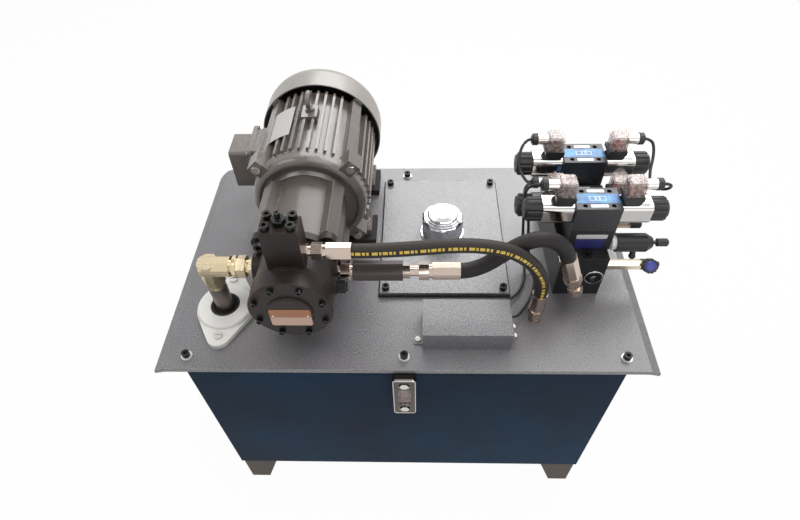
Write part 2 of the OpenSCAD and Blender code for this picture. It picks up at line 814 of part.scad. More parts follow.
// Hexagon socket plugs: manifold front and back, and the tank drain
module port_plugs() {
  color("dimgray") {
    for (y = [0, 1]) translate([plug_x, block_y0 + y * block_d, lid_z + elbow_z])
      rotate([y == 0 ? 90 : -90, 0, 0]) socket_plug(plug_r, 14);
    translate([stack_x - 2, block_y0 + first_station / 4.5, block_top]) socket_plug(6, 12);
    translate([0, tank_d / 2 + drain_boss_t - tank_wall, drain_z]) rotate([-90, 0, 0])
      socket_plug(drain_r, 14);
  }
}

// Plug with a thin round head on z = 0 and its thread below
module socket_plug(r, l) {
  difference() {
    union() {
      cylinder(r = r + 2.5, h = 2.5);
      translate([0, 0, -l]) cylinder(r = r, h = l);
    }
    translate([0, 0, -5]) cylinder(r = 0.6 * r, h = 10, $fn = 6);
  }
}

// Folded sheet box, open below, with one screw tab on the left
module junction_box() {
  half_w = jbox_w / 2;
  half_d = jbox_d / 2;
  color("darkgray") translate([jbox_x, jbox_y, lid_z]) difference() {
    union() {
      box([-half_w, -half_d, 0], [half_w, half_d, jbox_h]);
      box([-half_w - jbox_tab_l, -half_d / 2 - jbox_tab_w / 2, 0], [-half_w + over,
        -half_d / 2 + jbox_tab_w / 2, jbox_t]);
    }
    box([-half_w + jbox_t, -half_d + jbox_t, -over], [half_w - jbox_t, half_d - jbox_t, jbox_h - jbox_t]);
    translate([-half_w - jbox_tab_l / 2, -half_d / 2, 0]) rod_z(-over, jbox_t + over, jbox_screw_r + fit);
    for (y = [0, 1]) translate([0, -y * jbox_d / 4, jbox_h / 2.6])
      rod_x(half_w - jbox_t - over, half_w + over, jbox_screw_r + fit);
  }
}

// Suction line

// Round disc with two rounded ears, joined by straight tangents
module eared_plan(disc_r, ear_r, ear_y) {
  a = acos((disc_r - ear_r) / ear_y);
  circle(disc_r);
  for (s = [-1, 1]) {
    translate([0, s * ear_y]) circle(ear_r);
    polygon([for (p = [[disc_r, 0, 1], [ear_r, ear_y, 1], [ear_r, ear_y, -1], [disc_r, 0, -1]])
      [p[2] * p[0] * sin(a), s * (p[1] + p[0] * cos(a))]]);
  }
}

module suction_flange() {
  color("whitesmoke") translate([suction_x, suction_y, lid_z]) difference() {
    union() {
      linear_extrude(suction_base_t) eared_plan(suction_flange_r, suction_lobe_r, suction_screw_y);
      translate([0, 0, suction_base_t]) rotate_extrude() polygon([[0, 0], [suction_flange_r - 2, 0],
        [suction_flange_r - 2, suction_disc_t - 2], [suction_flange_r - 4, suction_disc_t],
        [0, suction_disc_t]]);
    }
    rod_z(-over, suction_base_t + suction_disc_t + over, suction_hole_r);
    for (s = [-1, 1]) translate([0, s * suction_screw_y, 0])
      rod_z(-over, suction_base_t + over, 1.6 * jbox_screw_r + fit);
    for (s = [-1, 1]) translate([0, s * suction_screw_y, suction_base_t])
      cylinder(r = 3.4 * jbox_screw_r, h = suction_disc_t + over);
  }
}

// Steel pipes through the lid: suction, pump drain and valve return
module tank_pipes() {
  suction_top = axis_z - elbow_drop;
  suction_foot = strainer_z + strainer_h - 12;
  color("slategray") {
    translate([suction_x, suction_y, 0]) difference() {
      rod_z(suction_foot, suction_top, suction_r);
      rod_z(suction_foot - over, suction_top + over, suction_r - 3);
    }
    translate([drain_foot.x, drain_foot.y, 0]) difference() {
      rod_z(lid_z - drain_pipe_l, lid_z, drain_hose_r);
      rod_z(lid_z - drain_pipe_l - over, lid_z + over, drain_hose_r - 2);
    }
    translate([stack_x, station_ys[1], 0]) difference() {
      rod_z(lid_z - return_pipe_l, lid_z, plug_r);
      rod_z(lid_z - return_pipe_l - over, lid_z + over, plug_r - 2);
    }
  }
}

module suction_elbow() {
  reach = axis_x - suction_port_x - suction_x;
  flat_r = elbow_r / cos(22.5);
  knee = elbow_r * 0.75;
  color("khaki") translate([suction_x, suction_y, axis_z]) difference() {
    union() {
      rod_z(-elbow_drop, -elbow_drop + 8, elbow_r - 1);
      translate([0, 0, -elbow_drop + 7]) rotate(22.5)
        cylinder(r = flat_r, h = elbow_drop + knee - 7, $fn = 8);
      translate([-knee, 0, 0]) rotate([0, 90, 0]) rotate(22.5)
        cylinder(r = flat_r, h = knee + reach - nipple_l, $fn = 8);
      rod_x(reach - nipple_l, reach, elbow_r - 4);
      rod_x(reach - 33, reach - 27, elbow_r + 2);
      hex_x(reach - 27, reach - 13, 2 * elbow_r);
      hex_x(reach - 7, reach, 2 * elbow_r - 3);
    }
    rod_z(-elbow_drop - over, 0, suction_r - 3);
    sphere(suction_r - 3);
    rod_x(0, reach + over, suction_r - 5);
  }
}

// Motor

// Section of the finned frame: barrel, radial fins, four corner lugs and the flat for the terminal box
module frame_section() {
  lug_w = 19;
  step = 360 / fin_count;
  difference() {
    union() {
      circle(frame_r);
      for (i = [0:fin_count - 1]) let (a = (i + 0.5) * step, near = abs((a % 90) - 45))
        if (near > 10 && (a < 146 || a > 202)) rotate(a)
          translate([frame_r - 2, -fin_t / 2]) square([fin_r - frame_r + 2, fin_t]);
      for (a = [45:90:315]) rotate(a) translate([0, -lug_w / 2]) square([fin_r + 3, lug_w]);
    }
    circle(stator_r + fit);
  }
}

// Square bolt ears at the front of the motor, in the X and Z plane
module ear_plan() {
  difference() {
    for (a = [45:90:315]) rotate(a) translate([0, -ear_w / 2]) square([ear_r, ear_w]);
    circle(stator_r + fit);
  }
}

// Sole and web of one pair of motor feet, in section
module sole_section() {
  for (s = [0, 1]) mirror([s, 0])
    translate([foot_x - foot_in, -shaft_h + pad_t]) square([foot_in + foot_out, foot_plate_t]);
}

module web_section() {
  web = 11;
  bottom = -shaft_h + pad_t;
  difference() {
    for (s = [0, 1]) mirror([s, 0])
      translate([foot_x - foot_in, bottom]) square([web, -bottom - frame_r / 3]);
    circle(stator_r + fit);
  }
}

module motor_frame() {
  eye_y = frame_y0 + frame_l * 0.62;
  eye_pad = 13;
  color("silver") on_axis() difference() {
    union() {
      along_y(frame_y0, frame_y1) frame_section();
      along_y(frame_y0, frame_y0 + ear_l) ear_plan();
      for (y = foot_ys) {
        along_y(max(y - foot_l / 2, frame_y0), y + foot_l / 2) sole_section();
        along_y(max(y - foot_l / 2, frame_y0), min(y + foot_l / 2, frame_y1)) web_section();
      }
      intersection() {
        box([-tbox_pad_x, tbox_y - tbox_w / 2, tbox_z - tbox_h / 2],
          [-frame_r / 3, tbox_y + tbox_w / 2, tbox_z + tbox_h / 2]);
        difference() {
          rod_y(frame_y0, frame_y1, 2 * frame_r);
          rod_y(frame_y0 - over, frame_y1 + over, stator_r + fit);
        }
      }
      box([-eye_pad, eye_y - 1.6 * eye_pad, frame_r - 4], [eye_pad, eye_y + eye_pad, fin_r + 2]);
    }
    for (s = [-1, 1], y = foot_ys) translate([s * foot_x, y, 0]) rod_z(-shaft_h, -shaft_h / 2,
      foot_bolt_r + fit);
    rod_y(fan_y0 - 2, fan_y1, fan_cover_r + 2);
    around_axis(flange_bolt_r, 45) rod_y(frame_y0 - over, frame_y0 + ear_l + over, shield_hole_r);
    translate([0, eye_y, 0]) rod_z(frame_r - 3, fin_r + 3, 5 + fit);
    translate([0, tbox_y, tbox_z]) rod_x(-tbox_pad_x - over, -frame_r / 2, 9);
  }
}

// Front shield: dished disc with a bolt ear at each corner
module motor_front_shield() {
  wall = 13;
  seat_r = bracket_r + 3;
  shoulder = 12;
  foot = joint_y + 1;
  color("silver") on_axis() difference() {
    union() {
      along_y(joint_y + ear_in, frame_y0) ear_plan();
      about_y() polygon(concat([[bearing_r + fit, joint_y], [seat_r, joint_y], [seat_r + 4, joint_y + 6],
        [shield_r - shoulder - 4, joint_y + 6]],
        [for (a = [90:-15:0]) [shield_r - shoulder * (1 - cos(a)), foot + shoulder * (1 - sin(a))]],
        [[shield_r + 1, frame_y0], [bearing_r + fit, frame_y0]]));
    }
    about_y() polygon([[bearing_r + 8, joint_y + wall], [stator_r - 2, joint_y + wall],
      [stator_r - 2, frame_y0 + over], [bearing_r + 8, frame_y0 + over]]);
    rod_y(joint_y - over, frame_y0 + over, bearing_r + fit);
    around_axis(flange_bolt_r, 45) rod_y(joint_y, frame_y0 + over, shield_hole_r);
    around_axis(bell_bolt_r, 0) rod_y(joint_y - over, joint_y + wall, bell_bolt_d / 2 + fit);
  }
}

// Rear end shield with four arms that carry the fan cover
module motor_rear_shield() {
  arm_r = fan_cover_r - fan_cover_wall - fit;
  color("silver") on_axis() difference() {
    union() {
      rod_y(frame_y1, frame_y1 + rear_shield_t, frame_r);
      along_y(frame_y1 + 1, frame_y1 + rear_shield_t) intersection() {
        circle(arm_r);
        for (a = [45, 135]) rotate(a) square([2 * fan_cover_r, 16], center = true);
      }
      rod_y(frame_y1 - bearing_w, frame_y1 + over, bearing_r + 8);
    }
    rod_y(frame_y1 - bearing_w - over, frame_y1, bearing_r + fit);
    rod_y(frame_y1 - over, frame_y1 + rear_shield_t + over, motor_shaft_r + 2);
  }
}

// Pressed sheet cover with rings of air slots in its back
module fan_cover() {
  w = fan_cover_wall;
  r = fan_cover_r;
  back = fan_y1;
  slot_w = 6;
  slot_pitch = 12;
  color("gainsboro") on_axis() difference() {
    about_y() difference() {
      polygon([[0, back], [r - 16, back], [r - 7, back - 3], [r - 2, back - 10], [r, back - 20],
        [r, fan_y0], [0, fan_y0]]);
      polygon([[0, back - w], [r - 16, back - w], [r - 8, back - 3 - w], [r - 2 - w, back - 11],
        [r - w, back - 20], [r - w, fan_y0 - over], [0, fan_y0 - over]]);
    }
    along_y(back - 2 * w, back + over) difference() {
      for (i = [22:slot_pitch:r - 40]) difference() {
        circle(i + slot_w);
        circle(i);
      }
      for (a = [0:60:120]) rotate(a) square([2 * fan_cover_r, 10], center = true);
    }
  }
}

// Laminated core with the two winding heads
module stator() {
  head_l = 18;
  color("peru") on_axis() difference() {
    union() {
      rod_y(stator_y0, stator_y0 + stator_l, stator_r);
      rod_y(stator_y0 - head_l, stator_y0 + stator_l + head_l, stator_r - 8);
    }
    rod_y(stator_y0 - head_l - over, stator_y0 + stator_l + head_l + over, rotor_r + stator_gap);
  }
}

module motor_bearings() {
  color("lightsteelblue") on_axis() for (y = [joint_y + 4, frame_y1 - bearing_w]) difference() {
    rod_y(y, y + bearing_w, bearing_r);
    rod_y(y - over, y + bearing_w + over, motor_shaft_r + running);
  }
}

module motor_rotor() {
  color("lightslategray") on_axis() {
    rod_y(shaft_front_y, fan_y + fan_hub_l + 4, motor_shaft_r);
    rod_y(stator_y0, stator_y0 + stator_l, rotor_r);
    for (y = [stator_y0 - 6, stator_y0 + stator_l]) rod_y(y, y + 6, rotor_r - 4);
  }
}

module cooling_fan() {
  blades = 9;
  color("dimgray") on_axis() difference() {
    union() {
      rod_y(fan_y, fan_y + fan_hub_l, motor_shaft_r + 12);
      rod_y(fan_y + fan_hub_l - 4, fan_y + fan_hub_l, fan_blade_r);
      for (i = [0:blades - 1]) rotate([0, i * 360 / blades, 0])
        box([motor_shaft_r + 8, fan_y, -1.5], [fan_blade_r, fan_y + fan_hub_l, 1.5]);
    }
    rod_y(fan_y - over, fan_y + fan_hub_l + over, motor_shaft_r + fit);
  }
}

// Terminal box on the left of the frame, in its own outline of Y and Z
module tbox_plan(grow) {
  translate([tbox_y, tbox_z]) rounded_rect(tbox_w + 2 * grow, tbox_h + 2 * grow, 5);
}

module terminal_box() {
  x0 = tbox_pad_x;
  color("silver") on_axis() difference() {
    union() {
      along_x(-x0 - tbox_base_t, -x0) tbox_plan(0);
      along_x(-x0 - tbox_base_t - tbox_rim_t / 2, -x0 - tbox_base_t) tbox_plan(tbox_rim_over);
    }
    along_x(-x0 - tbox_base_t - tbox_rim_t, -x0 - 3) tbox_plan(-tbox_wall);
    translate([0, tbox_y, tbox_z]) rod_x(-x0 - over - 4, -x0 + over, 9);
    translate([-x0 - tbox_base_t / 2 - 2, tbox_y, tbox_z - tbox_h / 2]) rod_z(-10, tbox_wall + over, 4.5);
    for (y = [-1, 1], z = [-1, 1])
      translate([0, tbox_y + y * (tbox_w / 2 - 3), tbox_z + z * (tbox_h / 2 - 3)])
        rod_x(-x0 - tbox_base_t - tbox_rim_t, -x0 - tbox_base_t + over, 2 + fit);
  }
}

module terminal_box_cover() {
  x0 = tbox_pad_x + tbox_base_t + tbox_rim_t / 2;
  color("lightgray") on_axis() difference() {
    union() {
      along_x(-x0 - tbox_rim_t / 2, -x0) tbox_plan(tbox_rim_over);
      along_x(-x0 - tbox_cover_t, -x0) tbox_plan(-2 * tbox_wall);
    }
    along_x(-x0 - tbox_cover_t + tbox_wall, -x0 + over) tbox_plan(-3 * tbox_wall);
    for (y = [-1, 1], z = [-1, 1])
      translate([0, tbox_y + y * (tbox_w / 2 - 3), tbox_z + z * (tbox_h / 2 - 3)])
        rod_x(-x0 - tbox_rim_t, -x0 + over, 2 + fit);
  }
}

module lifting_eye() {
  ring_r = 12;
  bar_r = 4;
  seat = fin_r + 2;
  color("silver") on_axis() translate([0, frame_y0 + frame_l * 0.62, 0]) {
    rod_z(frame_r - 2, seat, 5);
    rod_z(seat, seat + 4, 8);
    translate([0, 0, seat + 2 + ring_r + bar_r]) rotate([0, 90, 0])
      rotate_extrude() translate([ring_r, 0]) circle(bar_r);
  }
}

// Corner bolts of the front shield, bolts inside the bell and the foot bolts of the motor
module drive_bolts() {
  foot_top = -shaft_h + pad_t + foot_plate_t;
  color("silver") on_axis() {
    around_axis(flange_bolt_r, 45) translate([0, joint_y + ear_in, 0]) rotate([90, 0, 0])
      hex_screw(shield_bolt_d, shield_l - ear_in + ear_l - 2);
    around_axis(bell_bolt_r, 0) translate([0, joint_y - bell_flange_t, 0]) rotate([90, 0, 0])
      socket_screw(bell_bolt_d, bell_flange_t + 10);
    for (s = [-1, 1], y = foot_ys) translate([s * foot_x, y, foot_top])
      hex_screw(2 * foot_bolt_r, foot_plate_t + pad_t + lid_t);
  }
}

module mount_pads() {
  pad_out = foot_out + 8;
  color("black") on_axis() difference() {
    for (s = [0, 1], y = foot_ys) mirror([s, 0, 0])
      box([foot_x - foot_in, y - foot_l / 2 - 2, -shaft_h], [foot_x + pad_out, y + foot_l / 2 + 2,
        -shaft_h + pad_t]);
    for (s = [-1, 1], y = foot_ys) translate([s * foot_x, y, 0])
      rod_z(-shaft_h - over, -shaft_h + pad_t + over, foot_bolt_r + fit);
  }
}

// Pump

// Section of the bell housing
module bell_plan() {
  circle(bracket_r);
  for (a = [45:90:315]) rotate(a) translate([0, -rib_w / 2]) square([rib_r, rib_w]);
}

// Bell housing: barrel, four corner ribs and an inner flange to the motor
module pump_bracket() {
  bore = bracket_r - 10;
  window_l = bracket_l - 64;
  front_wall = 12;
  slant = 12;
  color("silver") on_axis() difference() {
    along_y(bracket_y0, joint_y) bell_plan();
    about_y() polygon([[rib_r - slant - over, joint_y + over], [rib_r + over, joint_y - slant - over],
      [rib_r + over, joint_y + over]]);
    rod_y(bracket_y0 + front_wall, joint_y - bell_flange_t, bore);
    rod_y(joint_y - bell_flange_t - over, joint_y + over, bell_bolt_r - 11);
    rod_y(bracket_y0 - over, bracket_y0 + front_wall + over, pump_pilot_r + fit);
    around_axis(bell_bolt_r, 0) rod_y(joint_y - bell_flange_t - over, joint_y + over,
      bell_bolt_d / 2 + fit);
    around_axis(rib_bolt_r, 45) rod_y(bracket_y0 - over, bracket_y0 + 26, rib_bolt_d / 2 + fit);
    box([-18, bracket_y0 + 24, -2 * bracket_r], [18, bracket_y0 + 24 + window_l, 0]);
  }
}

// Jaw coupling: two hubs with three jaws each and the elastic star between them
module shaft_coupling() {
  hub_r = 30;
  hub_l = 28;
  star_t = 12;
  y1 = shaft_front_y - 6 + hub_l;
  y0 = pump_shaft_y1 - 2;
  mid = (y0 + y1) / 2;
  color("dimgray") on_axis() {
    difference() {
      rod_y(mid + star_t / 2, y1 + hub_l / 2, hub_r);
      rod_y(mid, y1 + hub_l, motor_shaft_r + fit);
    }
    difference() {
      rod_y(y0 - hub_l, mid - star_t / 2, hub_r);
      rod_y(y0 - hub_l - over, pump_shaft_y1 + fit, pump_shaft_r + fit);
    }
  }
  color("crimson") on_axis() rod_y(mid - star_t / 2, mid + star_t / 2, hub_r - 3);
}

// Round flange with four screw ears
module pump_flange_plan() {
  circle(pump_flange_r);
  for (a = [45:90:315]) rotate(a) translate([rib_bolt_r, 0]) circle(rib_w / 2 + 2);
}

// Pump housing with the suction, outlet and volume bosses, the vane chamber and the control seat
module pump_body() {
  seat = 1;
  reach = 2 * suction_port_x;
  color("dimgray") on_axis() difference() {
    union() {
      rod_y(pump_y0, bracket_y0 - over, pump_r);
      rod_y(pump_y0, pump_y0 + 9, pump_cover_r);
      along_y(bracket_y0 - pump_flange_t, bracket_y0) pump_flange_plan();
      rod_y(bracket_y0 - over, bracket_y0 + pump_pilot_l - seat, pump_pilot_r);
      intersection() {
        box([-reach, pump_y0, -reach], [reach, bracket_y0 - over, reach]);
        union() {
          translate([0, suction_port_y, 0]) rod_x(-suction_port_x, 0, suction_r + 8);
          translate([0, outlet_port_y, 0]) rod_x(0, outlet_port_x, 18);
          translate([0, volume_y, 0]) rod_x(0, volume_boss_x, volume_r + 2);
        }
      }
      box([-control_w / 2, control_y0, 0], [control_w / 2, control_y1, control_z0]);
    }
    translate([chamber_off, 0, 0]) rod_y(chamber_y0 - over, chamber_y0 + chamber_l, chamber_r);
    rod_y(pump_y0, bracket_y0 + pump_pilot_l + over, pump_shaft_r + running);
    rod_y(bracket_y0 - 6, bracket_y0 + pump_pilot_l + over, pump_shaft_r + 12);
    translate([0, suction_port_y, 0]) rod_x(-suction_port_x - over, -pump_shaft_r - 8, suction_r - 5);
    translate([0, outlet_port_y, 0]) rod_x(pump_shaft_r + 8, outlet_port_x + over, 8);
    translate([0, volume_y, 0]) rod_x(chamber_r - 4, volume_boss_x + over, volume_shank_r + fit);
    around_axis(rib_bolt_r, 45) rod_y(bracket_y0 - pump_flange_t - over, bracket_y0 + over,
      rib_bolt_d / 2 + fit);
    pump_screw_spots() rod_y(pump_y0 - over, pump_y0 + 10, 3 + fit);
    control_screw_spots() rod_z(control_z0 - 10, control_z0 + over, control_screw_d / 2 + fit);
  }
}

// The eight screws of the front cover and the four of the control block
module pump_screw_spots() {
  for (i = [0:7]) let (a = 22.5 + 45 * i)
    translate([cover_bolt_r * cos(a), 0, cover_bolt_r * sin(a)]) children();
}

module control_screw_spots() {
  edge = 8.5;
  for (x = [-1, 1], y = [-1, 1])
    translate([x * (control_w / 2 - edge), control_port_y + y * (control_d / 2 - edge), 0]) children();
}

module pump_cover() {
  front = pump_face_y;
  color("black") on_axis() difference() {
    union() {
      about_y() polygon([[0, front], [pump_cover_r - 2, front], [pump_cover_r, front + 2],
        [pump_cover_r, pump_y0], [0, pump_y0]]);
      about_y() polygon([[0, front - 4], [cover_boss_r - 2, front - 4], [cover_boss_r, front - 2],
        [cover_boss_r, front + over], [0, front + over]]);
    }
    rod_y(pump_y0 - 16, pump_y0 + over, pump_shaft_r + running);
    pump_screw_spots() rod_y(front - over, pump_y0 + over, 3 + fit);
  }
}

// Black socket screws of the pump flange, the pump cover, the control block and the valves
module socket_screws() {
  color("black") {
    on_axis() around_axis(rib_bolt_r, 45) translate([0, bracket_y0 - pump_flange_t, 0]) rotate([90, 0, 0])
      socket_screw(rib_bolt_d, pump_flange_t + 24);
    on_axis() pump_screw_spots() translate([0, pump_face_y, 0]) rotate([90, 0, 0]) socket_screw(6,
      pump_cover_t + 9);
    on_axis() control_screw_spots() translate([0, 0, control_top])
      socket_screw(control_screw_d, control_h + 6);
    for (i = [0:2], x = [-1, 1], y = [-1, 1])
      translate([stack_x + x * valve_hole_x, station_ys[i] + y * valve_hole_y,
        valve_zs[i] + valve_h - valve_hole_d])
        cylinder(r = valve_hole_r - fit, h = valve_hole_d - 4);
  }
}

// Vane rotor on its shaft
module pump_rotor() {
  color("lightslategray") on_axis() {
    rod_y(pump_y0 - 14, pump_shaft_y1, pump_shaft_r);
    difference() {
      rod_y(chamber_y0 + 1, chamber_y0 + chamber_l - 1, vane_rotor_r);
      for (i = [0:vane_count - 1]) rotate([0, i * 360 / vane_count, 0])
        box([vane_rotor_r - 8, chamber_y0, -1], [vane_rotor_r + over, chamber_y0 + chamber_l, 1]);
    }
  }
}

module pressure_control() {
  half = control_w / 2;
  color("dimgray") on_axis() difference() {
    union() {
      along_x(-half, half) polygon([[control_y0, control_z0], [control_y1, control_z0],
        [control_y1, control_top - 6], [control_y1 - 6, control_top], [control_y0, control_top]]);
      translate([-half, control_port_y, control_port_z]) rotate([0, -90, 0])
        cylinder(r = 9, h = 5, $fn = 6);
    }
    control_screw_spots() rod_z(control_z0 - over, control_top + over, control_screw_d / 2 + fit);
    translate([0, control_port_y, 0]) rod_z(control_z0 + 30, control_top + over, adjuster_r + fit);
    translate([0, control_port_y, control_port_z]) rod_x(0, half + over, 5);
    translate([0, control_port_y, 0]) rod_z(control_z0 - over, control_z0 + 30 - over, 5);
  }
}

// Adjusting screw with its lock nut
module pressure_adjuster() {
  color("black") on_axis() translate([0, control_port_y, control_top + fit]) difference() {
    union() {
      cylinder(r = 10, h = 9, $fn = 6);
      translate([0, 0, -30]) cylinder(r = adjuster_r, h = 30);
      cylinder(r = adjuster_r, h = 20);
    }
    translate([0, 0, 15]) cylinder(r = 2.3, h = 10, $fn = 6);
  }
}

module volume_screw() {
  color("darkslategray") on_axis() translate([volume_boss_x + fit, volume_y, 0]) {
    rod_x(0, volume_l - 3, volume_r);
    rod_x(volume_l - 4, volume_l, volume_r - 2.5);
    rod_x(-14, over, volume_shank_r);
  }
}

// Check valve, hose ends and hoses

module check_valve() {
  color("dimgray") translate([0, outlet_port_y, axis_z]) difference() {
    hex_x(check_x0, check_x1, check_af);
    rod_x(check_x0 - over, check_x1 + over, poppet_r - 2);
    rod_x(check_x0 + 18, check_x1 - 12, poppet_r + running);
  }
}

module check_poppet() {
  x0 = check_x0 + 18;
  color("silver") translate([0, outlet_port_y, axis_z]) rod_x(x0 + fit, x0 + poppet_l, poppet_r);
}

// All bright hose ends: outlet stub, both ends of each hose, and the elbow on the manifold
module hose_fittings() {
  color("silver") {
    translate([outlet_x, outlet_port_y, axis_z]) {
      rod_x(0, outlet_fitting_l, 9);
      hex_x(4, outlet_fitting_l - 4, 27);
    }
    translate([check_x1, outlet_port_y, axis_z])
      hose_end(pressure_neck_l, pressure_nut_l, pressure_ferrule_l, pressure_hose_r);
    translate([axis_x + control_w / 2, control_port_y, axis_z + control_port_z])
      hose_end(drain_neck_l, drain_nut_l, drain_ferrule_l, drain_hose_r);
    translate([drain_foot.x, drain_foot.y, lid_z]) rotate([0, -90, 0])
      hose_end(drain_neck_l, drain_nut_l, drain_ferrule_l, drain_hose_r);
    translate(elbow_knee) {
      sphere(elbow_knee_r);
      rod_y(0, elbow_out, elbow_knee_r - 3);
      rotate([0, 0, 90]) hex_x(elbow_out - 12, elbow_out - 1, 2 * elbow_knee_r);
      rotate([0, -90 - elbow_tilt, 0])
        hose_end(pressure_neck_l, pressure_nut_l, pressure_ferrule_l, pressure_hose_r);
    }
  }
}

module pressure_hose() {
  stop = elbow_knee + pressure_end_l * elbow_dir;
  route = concat([pressure_start], above_lid(pressure_route), [stop + 8 * elbow_dir, stop]);
  color("black") tube(route, pressure_hose_r, 12);
}

module drain_hose() {
  stop = [drain_foot.x, drain_foot.y, lid_z + drain_end_l];
  color("black") tube(concat([drain_start], above_lid(drain_route), [stop]), drain_hose_r, 12);
}

// Valve stack

module manifold_block() {
  x1 = block_x0 + block_w;
  y1 = block_y0 + block_d;
  color("black") difference() {
    box([block_x0, block_y0, lid_z], [x1, y1, block_top]);
    for (i = [0:2], j = [0, 1]) translate([0, station_ys[i], lid_z + port_zs[j]])
      rod_x(x1 - port_depth + 2 * i + j, x1 + over, port_r);
    translate([elbow_x, 0, lid_z + elbow_z]) rod_y(block_y0 - over, block_y0 + 30, 6);
    translate([plug_x, 0, lid_z + elbow_z]) rod_y(block_y0 - over, y1 + over, plug_r + fit);
    translate([stack_x - 2, block_y0 + first_station / 4.5, 0]) rod_z(block_top - 13, block_top + over,
      6 + fit);
    translate([0, block_y0 + gauge_stem_y, lid_z + gauge_stem_z]) rod_x(x1 - 12, x1 + over, 5 + fit);
    translate([stack_x, station_ys[1], 0]) rod_z(lid_z - over, lid_z + 20, plug_r - 2);
  }
}

// Two sandwich valves under the front and rear stations, the front one with two adjusters on its right
module sandwich_valves() {
  right = stack_x + valve_w / 2;
  front = station_ys[0];
  z = block_top + adjust_z;
  color("black") {
    for (i = [0, 2]) translate([stack_x, station_ys[i], block_top])
      box([-valve_w / 2, -valve_d / 2, 0], [valve_w / 2, valve_d / 2, sandwich_h]);
    translate([right, front - adjust_y, z]) difference() {
      union() {
        rod_x(0, adjust_collar_l, adjust_r - 3);
        rod_x(adjust_collar_l, adjust_l - 6, adjust_r);
        translate([adjust_l - 6, 0, 0]) rotate([0, 90, 0]) cylinder(r1 = adjust_r, r2 = adjust_r - 6,
          h = 10);
        translate([adjust_l - 22, 0, 0]) rotate([160, 0, 0]) {
          cylinder(r = 4.5, h = 26);
          translate([0, 0, 24]) sphere(5.5);
        }
      }
      rod_x(adjust_l - 16, adjust_l + 10, adjust_stem_r + fit);
    }
    translate([right, front + adjust_y, z]) difference() {
      rod_x(0, cartridge_collar_l, 11);
      rod_x(cartridge_collar_l - 6, cartridge_collar_l + over, 4 + fit);
    }
  }
}

// One valve body about its station, with the spool bore and screw holes
module valve_body() {
  core = [valve_w / 2, valve_d / 2];
  difference() {
    box([-core.x, -core.y, 0], [core.x, core.y, valve_h]);
    translate([0, 0, spool_z]) rod_x(-core.x - over, core.x + over, spool_r + running);
    for (x = [-1, 1], y = [-1, 1]) translate([x * valve_hole_x, y * valve_hole_y, 0])
      rod_z(valve_h - valve_hole_d, valve_h + over, valve_hole_r);
    for (x = [-1, 0, 1]) translate([x * 9 + 4, 0, 0])
      box([-3, -core.y - over, 8], [3, -core.y + 0.8, 9.2]);
    box([-14, -core.y - over, 4], [18, -core.y + 0.8, 5]);
  }
}

// Places its children at each station, on the valve's seat
module at_stations() {
  for (i = [0:2]) translate([stack_x, station_ys[i], valve_zs[i]]) children();
}

// Both ends of every valve, with +X pointing away from the valve body
module at_ends() {
  at_stations() for (s = [0, 1]) mirror([s, 0, 0]) translate([valve_w / 2, 0, 0]) children();
}

module valve_bodies() {
  color("black") at_stations() valve_body();
}

// Square chromed solenoids with the armature bore
module solenoid_tubes() {
  color("gainsboro") at_ends() translate([0, 0, spool_z]) difference() {
    along_x(0, solenoid_l) rounded_rect(solenoid_s, solenoid_s, 9);
    rod_x(-over, solenoid_l + over, armature_r + running);
  }
}

// Ribbed nuts that hold the coils, with the override pin in their middle
module coil_nuts() {
  nut_r = solenoid_s / 2 + 1;
  ribs = 12;
  color("black") at_ends() translate([solenoid_l, 0, spool_z]) difference() {
    union() {
      along_x(0, coil_nut_l - 4) difference() {
        circle(nut_r);
        for (i = [0:ribs - 1]) rotate(i * 360 / ribs) translate([nut_r + 1.2, 0]) circle(3);
      }
      translate([coil_nut_l - 4, 0, 0]) rotate([0, 90, 0]) cylinder(r1 = nut_r - 2, r2 = nut_r - 5, h = 4);
    }
    rod_x(-over, 10, armature_r + running);
    rod_x(0, coil_nut_l + over, pin_r + fit);
  }
}

// Plug bases on top of the solenoids
module connector_bases() {
  half = conn_s / 2;
  top = spool_z + solenoid_s / 2;
  color("black") at_ends() translate([conn_in, 0, top]) difference() {
    along_y(-half, half) polygon([[-half + 4, 0], [half - 4, 0], [half + 1, 9], [half + 1, conn_base_h],
      [-half - 1, conn_base_h], [-half - 1, 9]]);
    translate([0, 0, conn_base_h - 4]) linear_extrude(5) rounded_rect(conn_s - 6, conn_s - 6, 3);
  }
}

// Clear covers of the plugs
module connector_caps() {
  top = spool_z + solenoid_s / 2 + conn_base_h;
  color("rosybrown") at_ends() translate([conn_in, 0, top]) difference() {
    union() {
      linear_extrude(conn_cap_h - 3) rounded_rect(conn_cap_s, conn_cap_s, 3);
      linear_extrude(conn_cap_h) rounded_rect(conn_cap_s - 4, conn_cap_s - 4, 3);
    }
    translate([0, 0, -over]) linear_extrude(conn_cap_h - conn_wall - 1)
      rounded_rect(conn_cap_s - 2 * conn_wall - 2, conn_cap_s - 2 * conn_wall - 2, 2);
  }
}

// Round cable glands on the outer side of each plug cover
module cable_glands() {
  z = spool_z + solenoid_s / 2 + conn_base_h + gland_z;
  color("silver") at_ends() translate([conn_in + conn_cap_s / 2, 0, z]) {
    rod_x(0, gland_l - 9, gland_r);
    translate([gland_l - 10, 0, 0]) rotate([0, 90, 0]) cylinder(r = gland_r + 1, h = 8, $fn = 12);
    rod_x(gland_l - 3, gland_l, gland_r - 2);
  }
}

// Tip of the gland on one side of one station
function gland_tip(i, side) = [
  stack_x + side * (valve_w / 2 + conn_in + conn_cap_s / 2 + gland_l + fit),
  station_ys[i],
  valve_zs[i] + spool_z + solenoid_s / 2 + conn_base_h + gland_z];

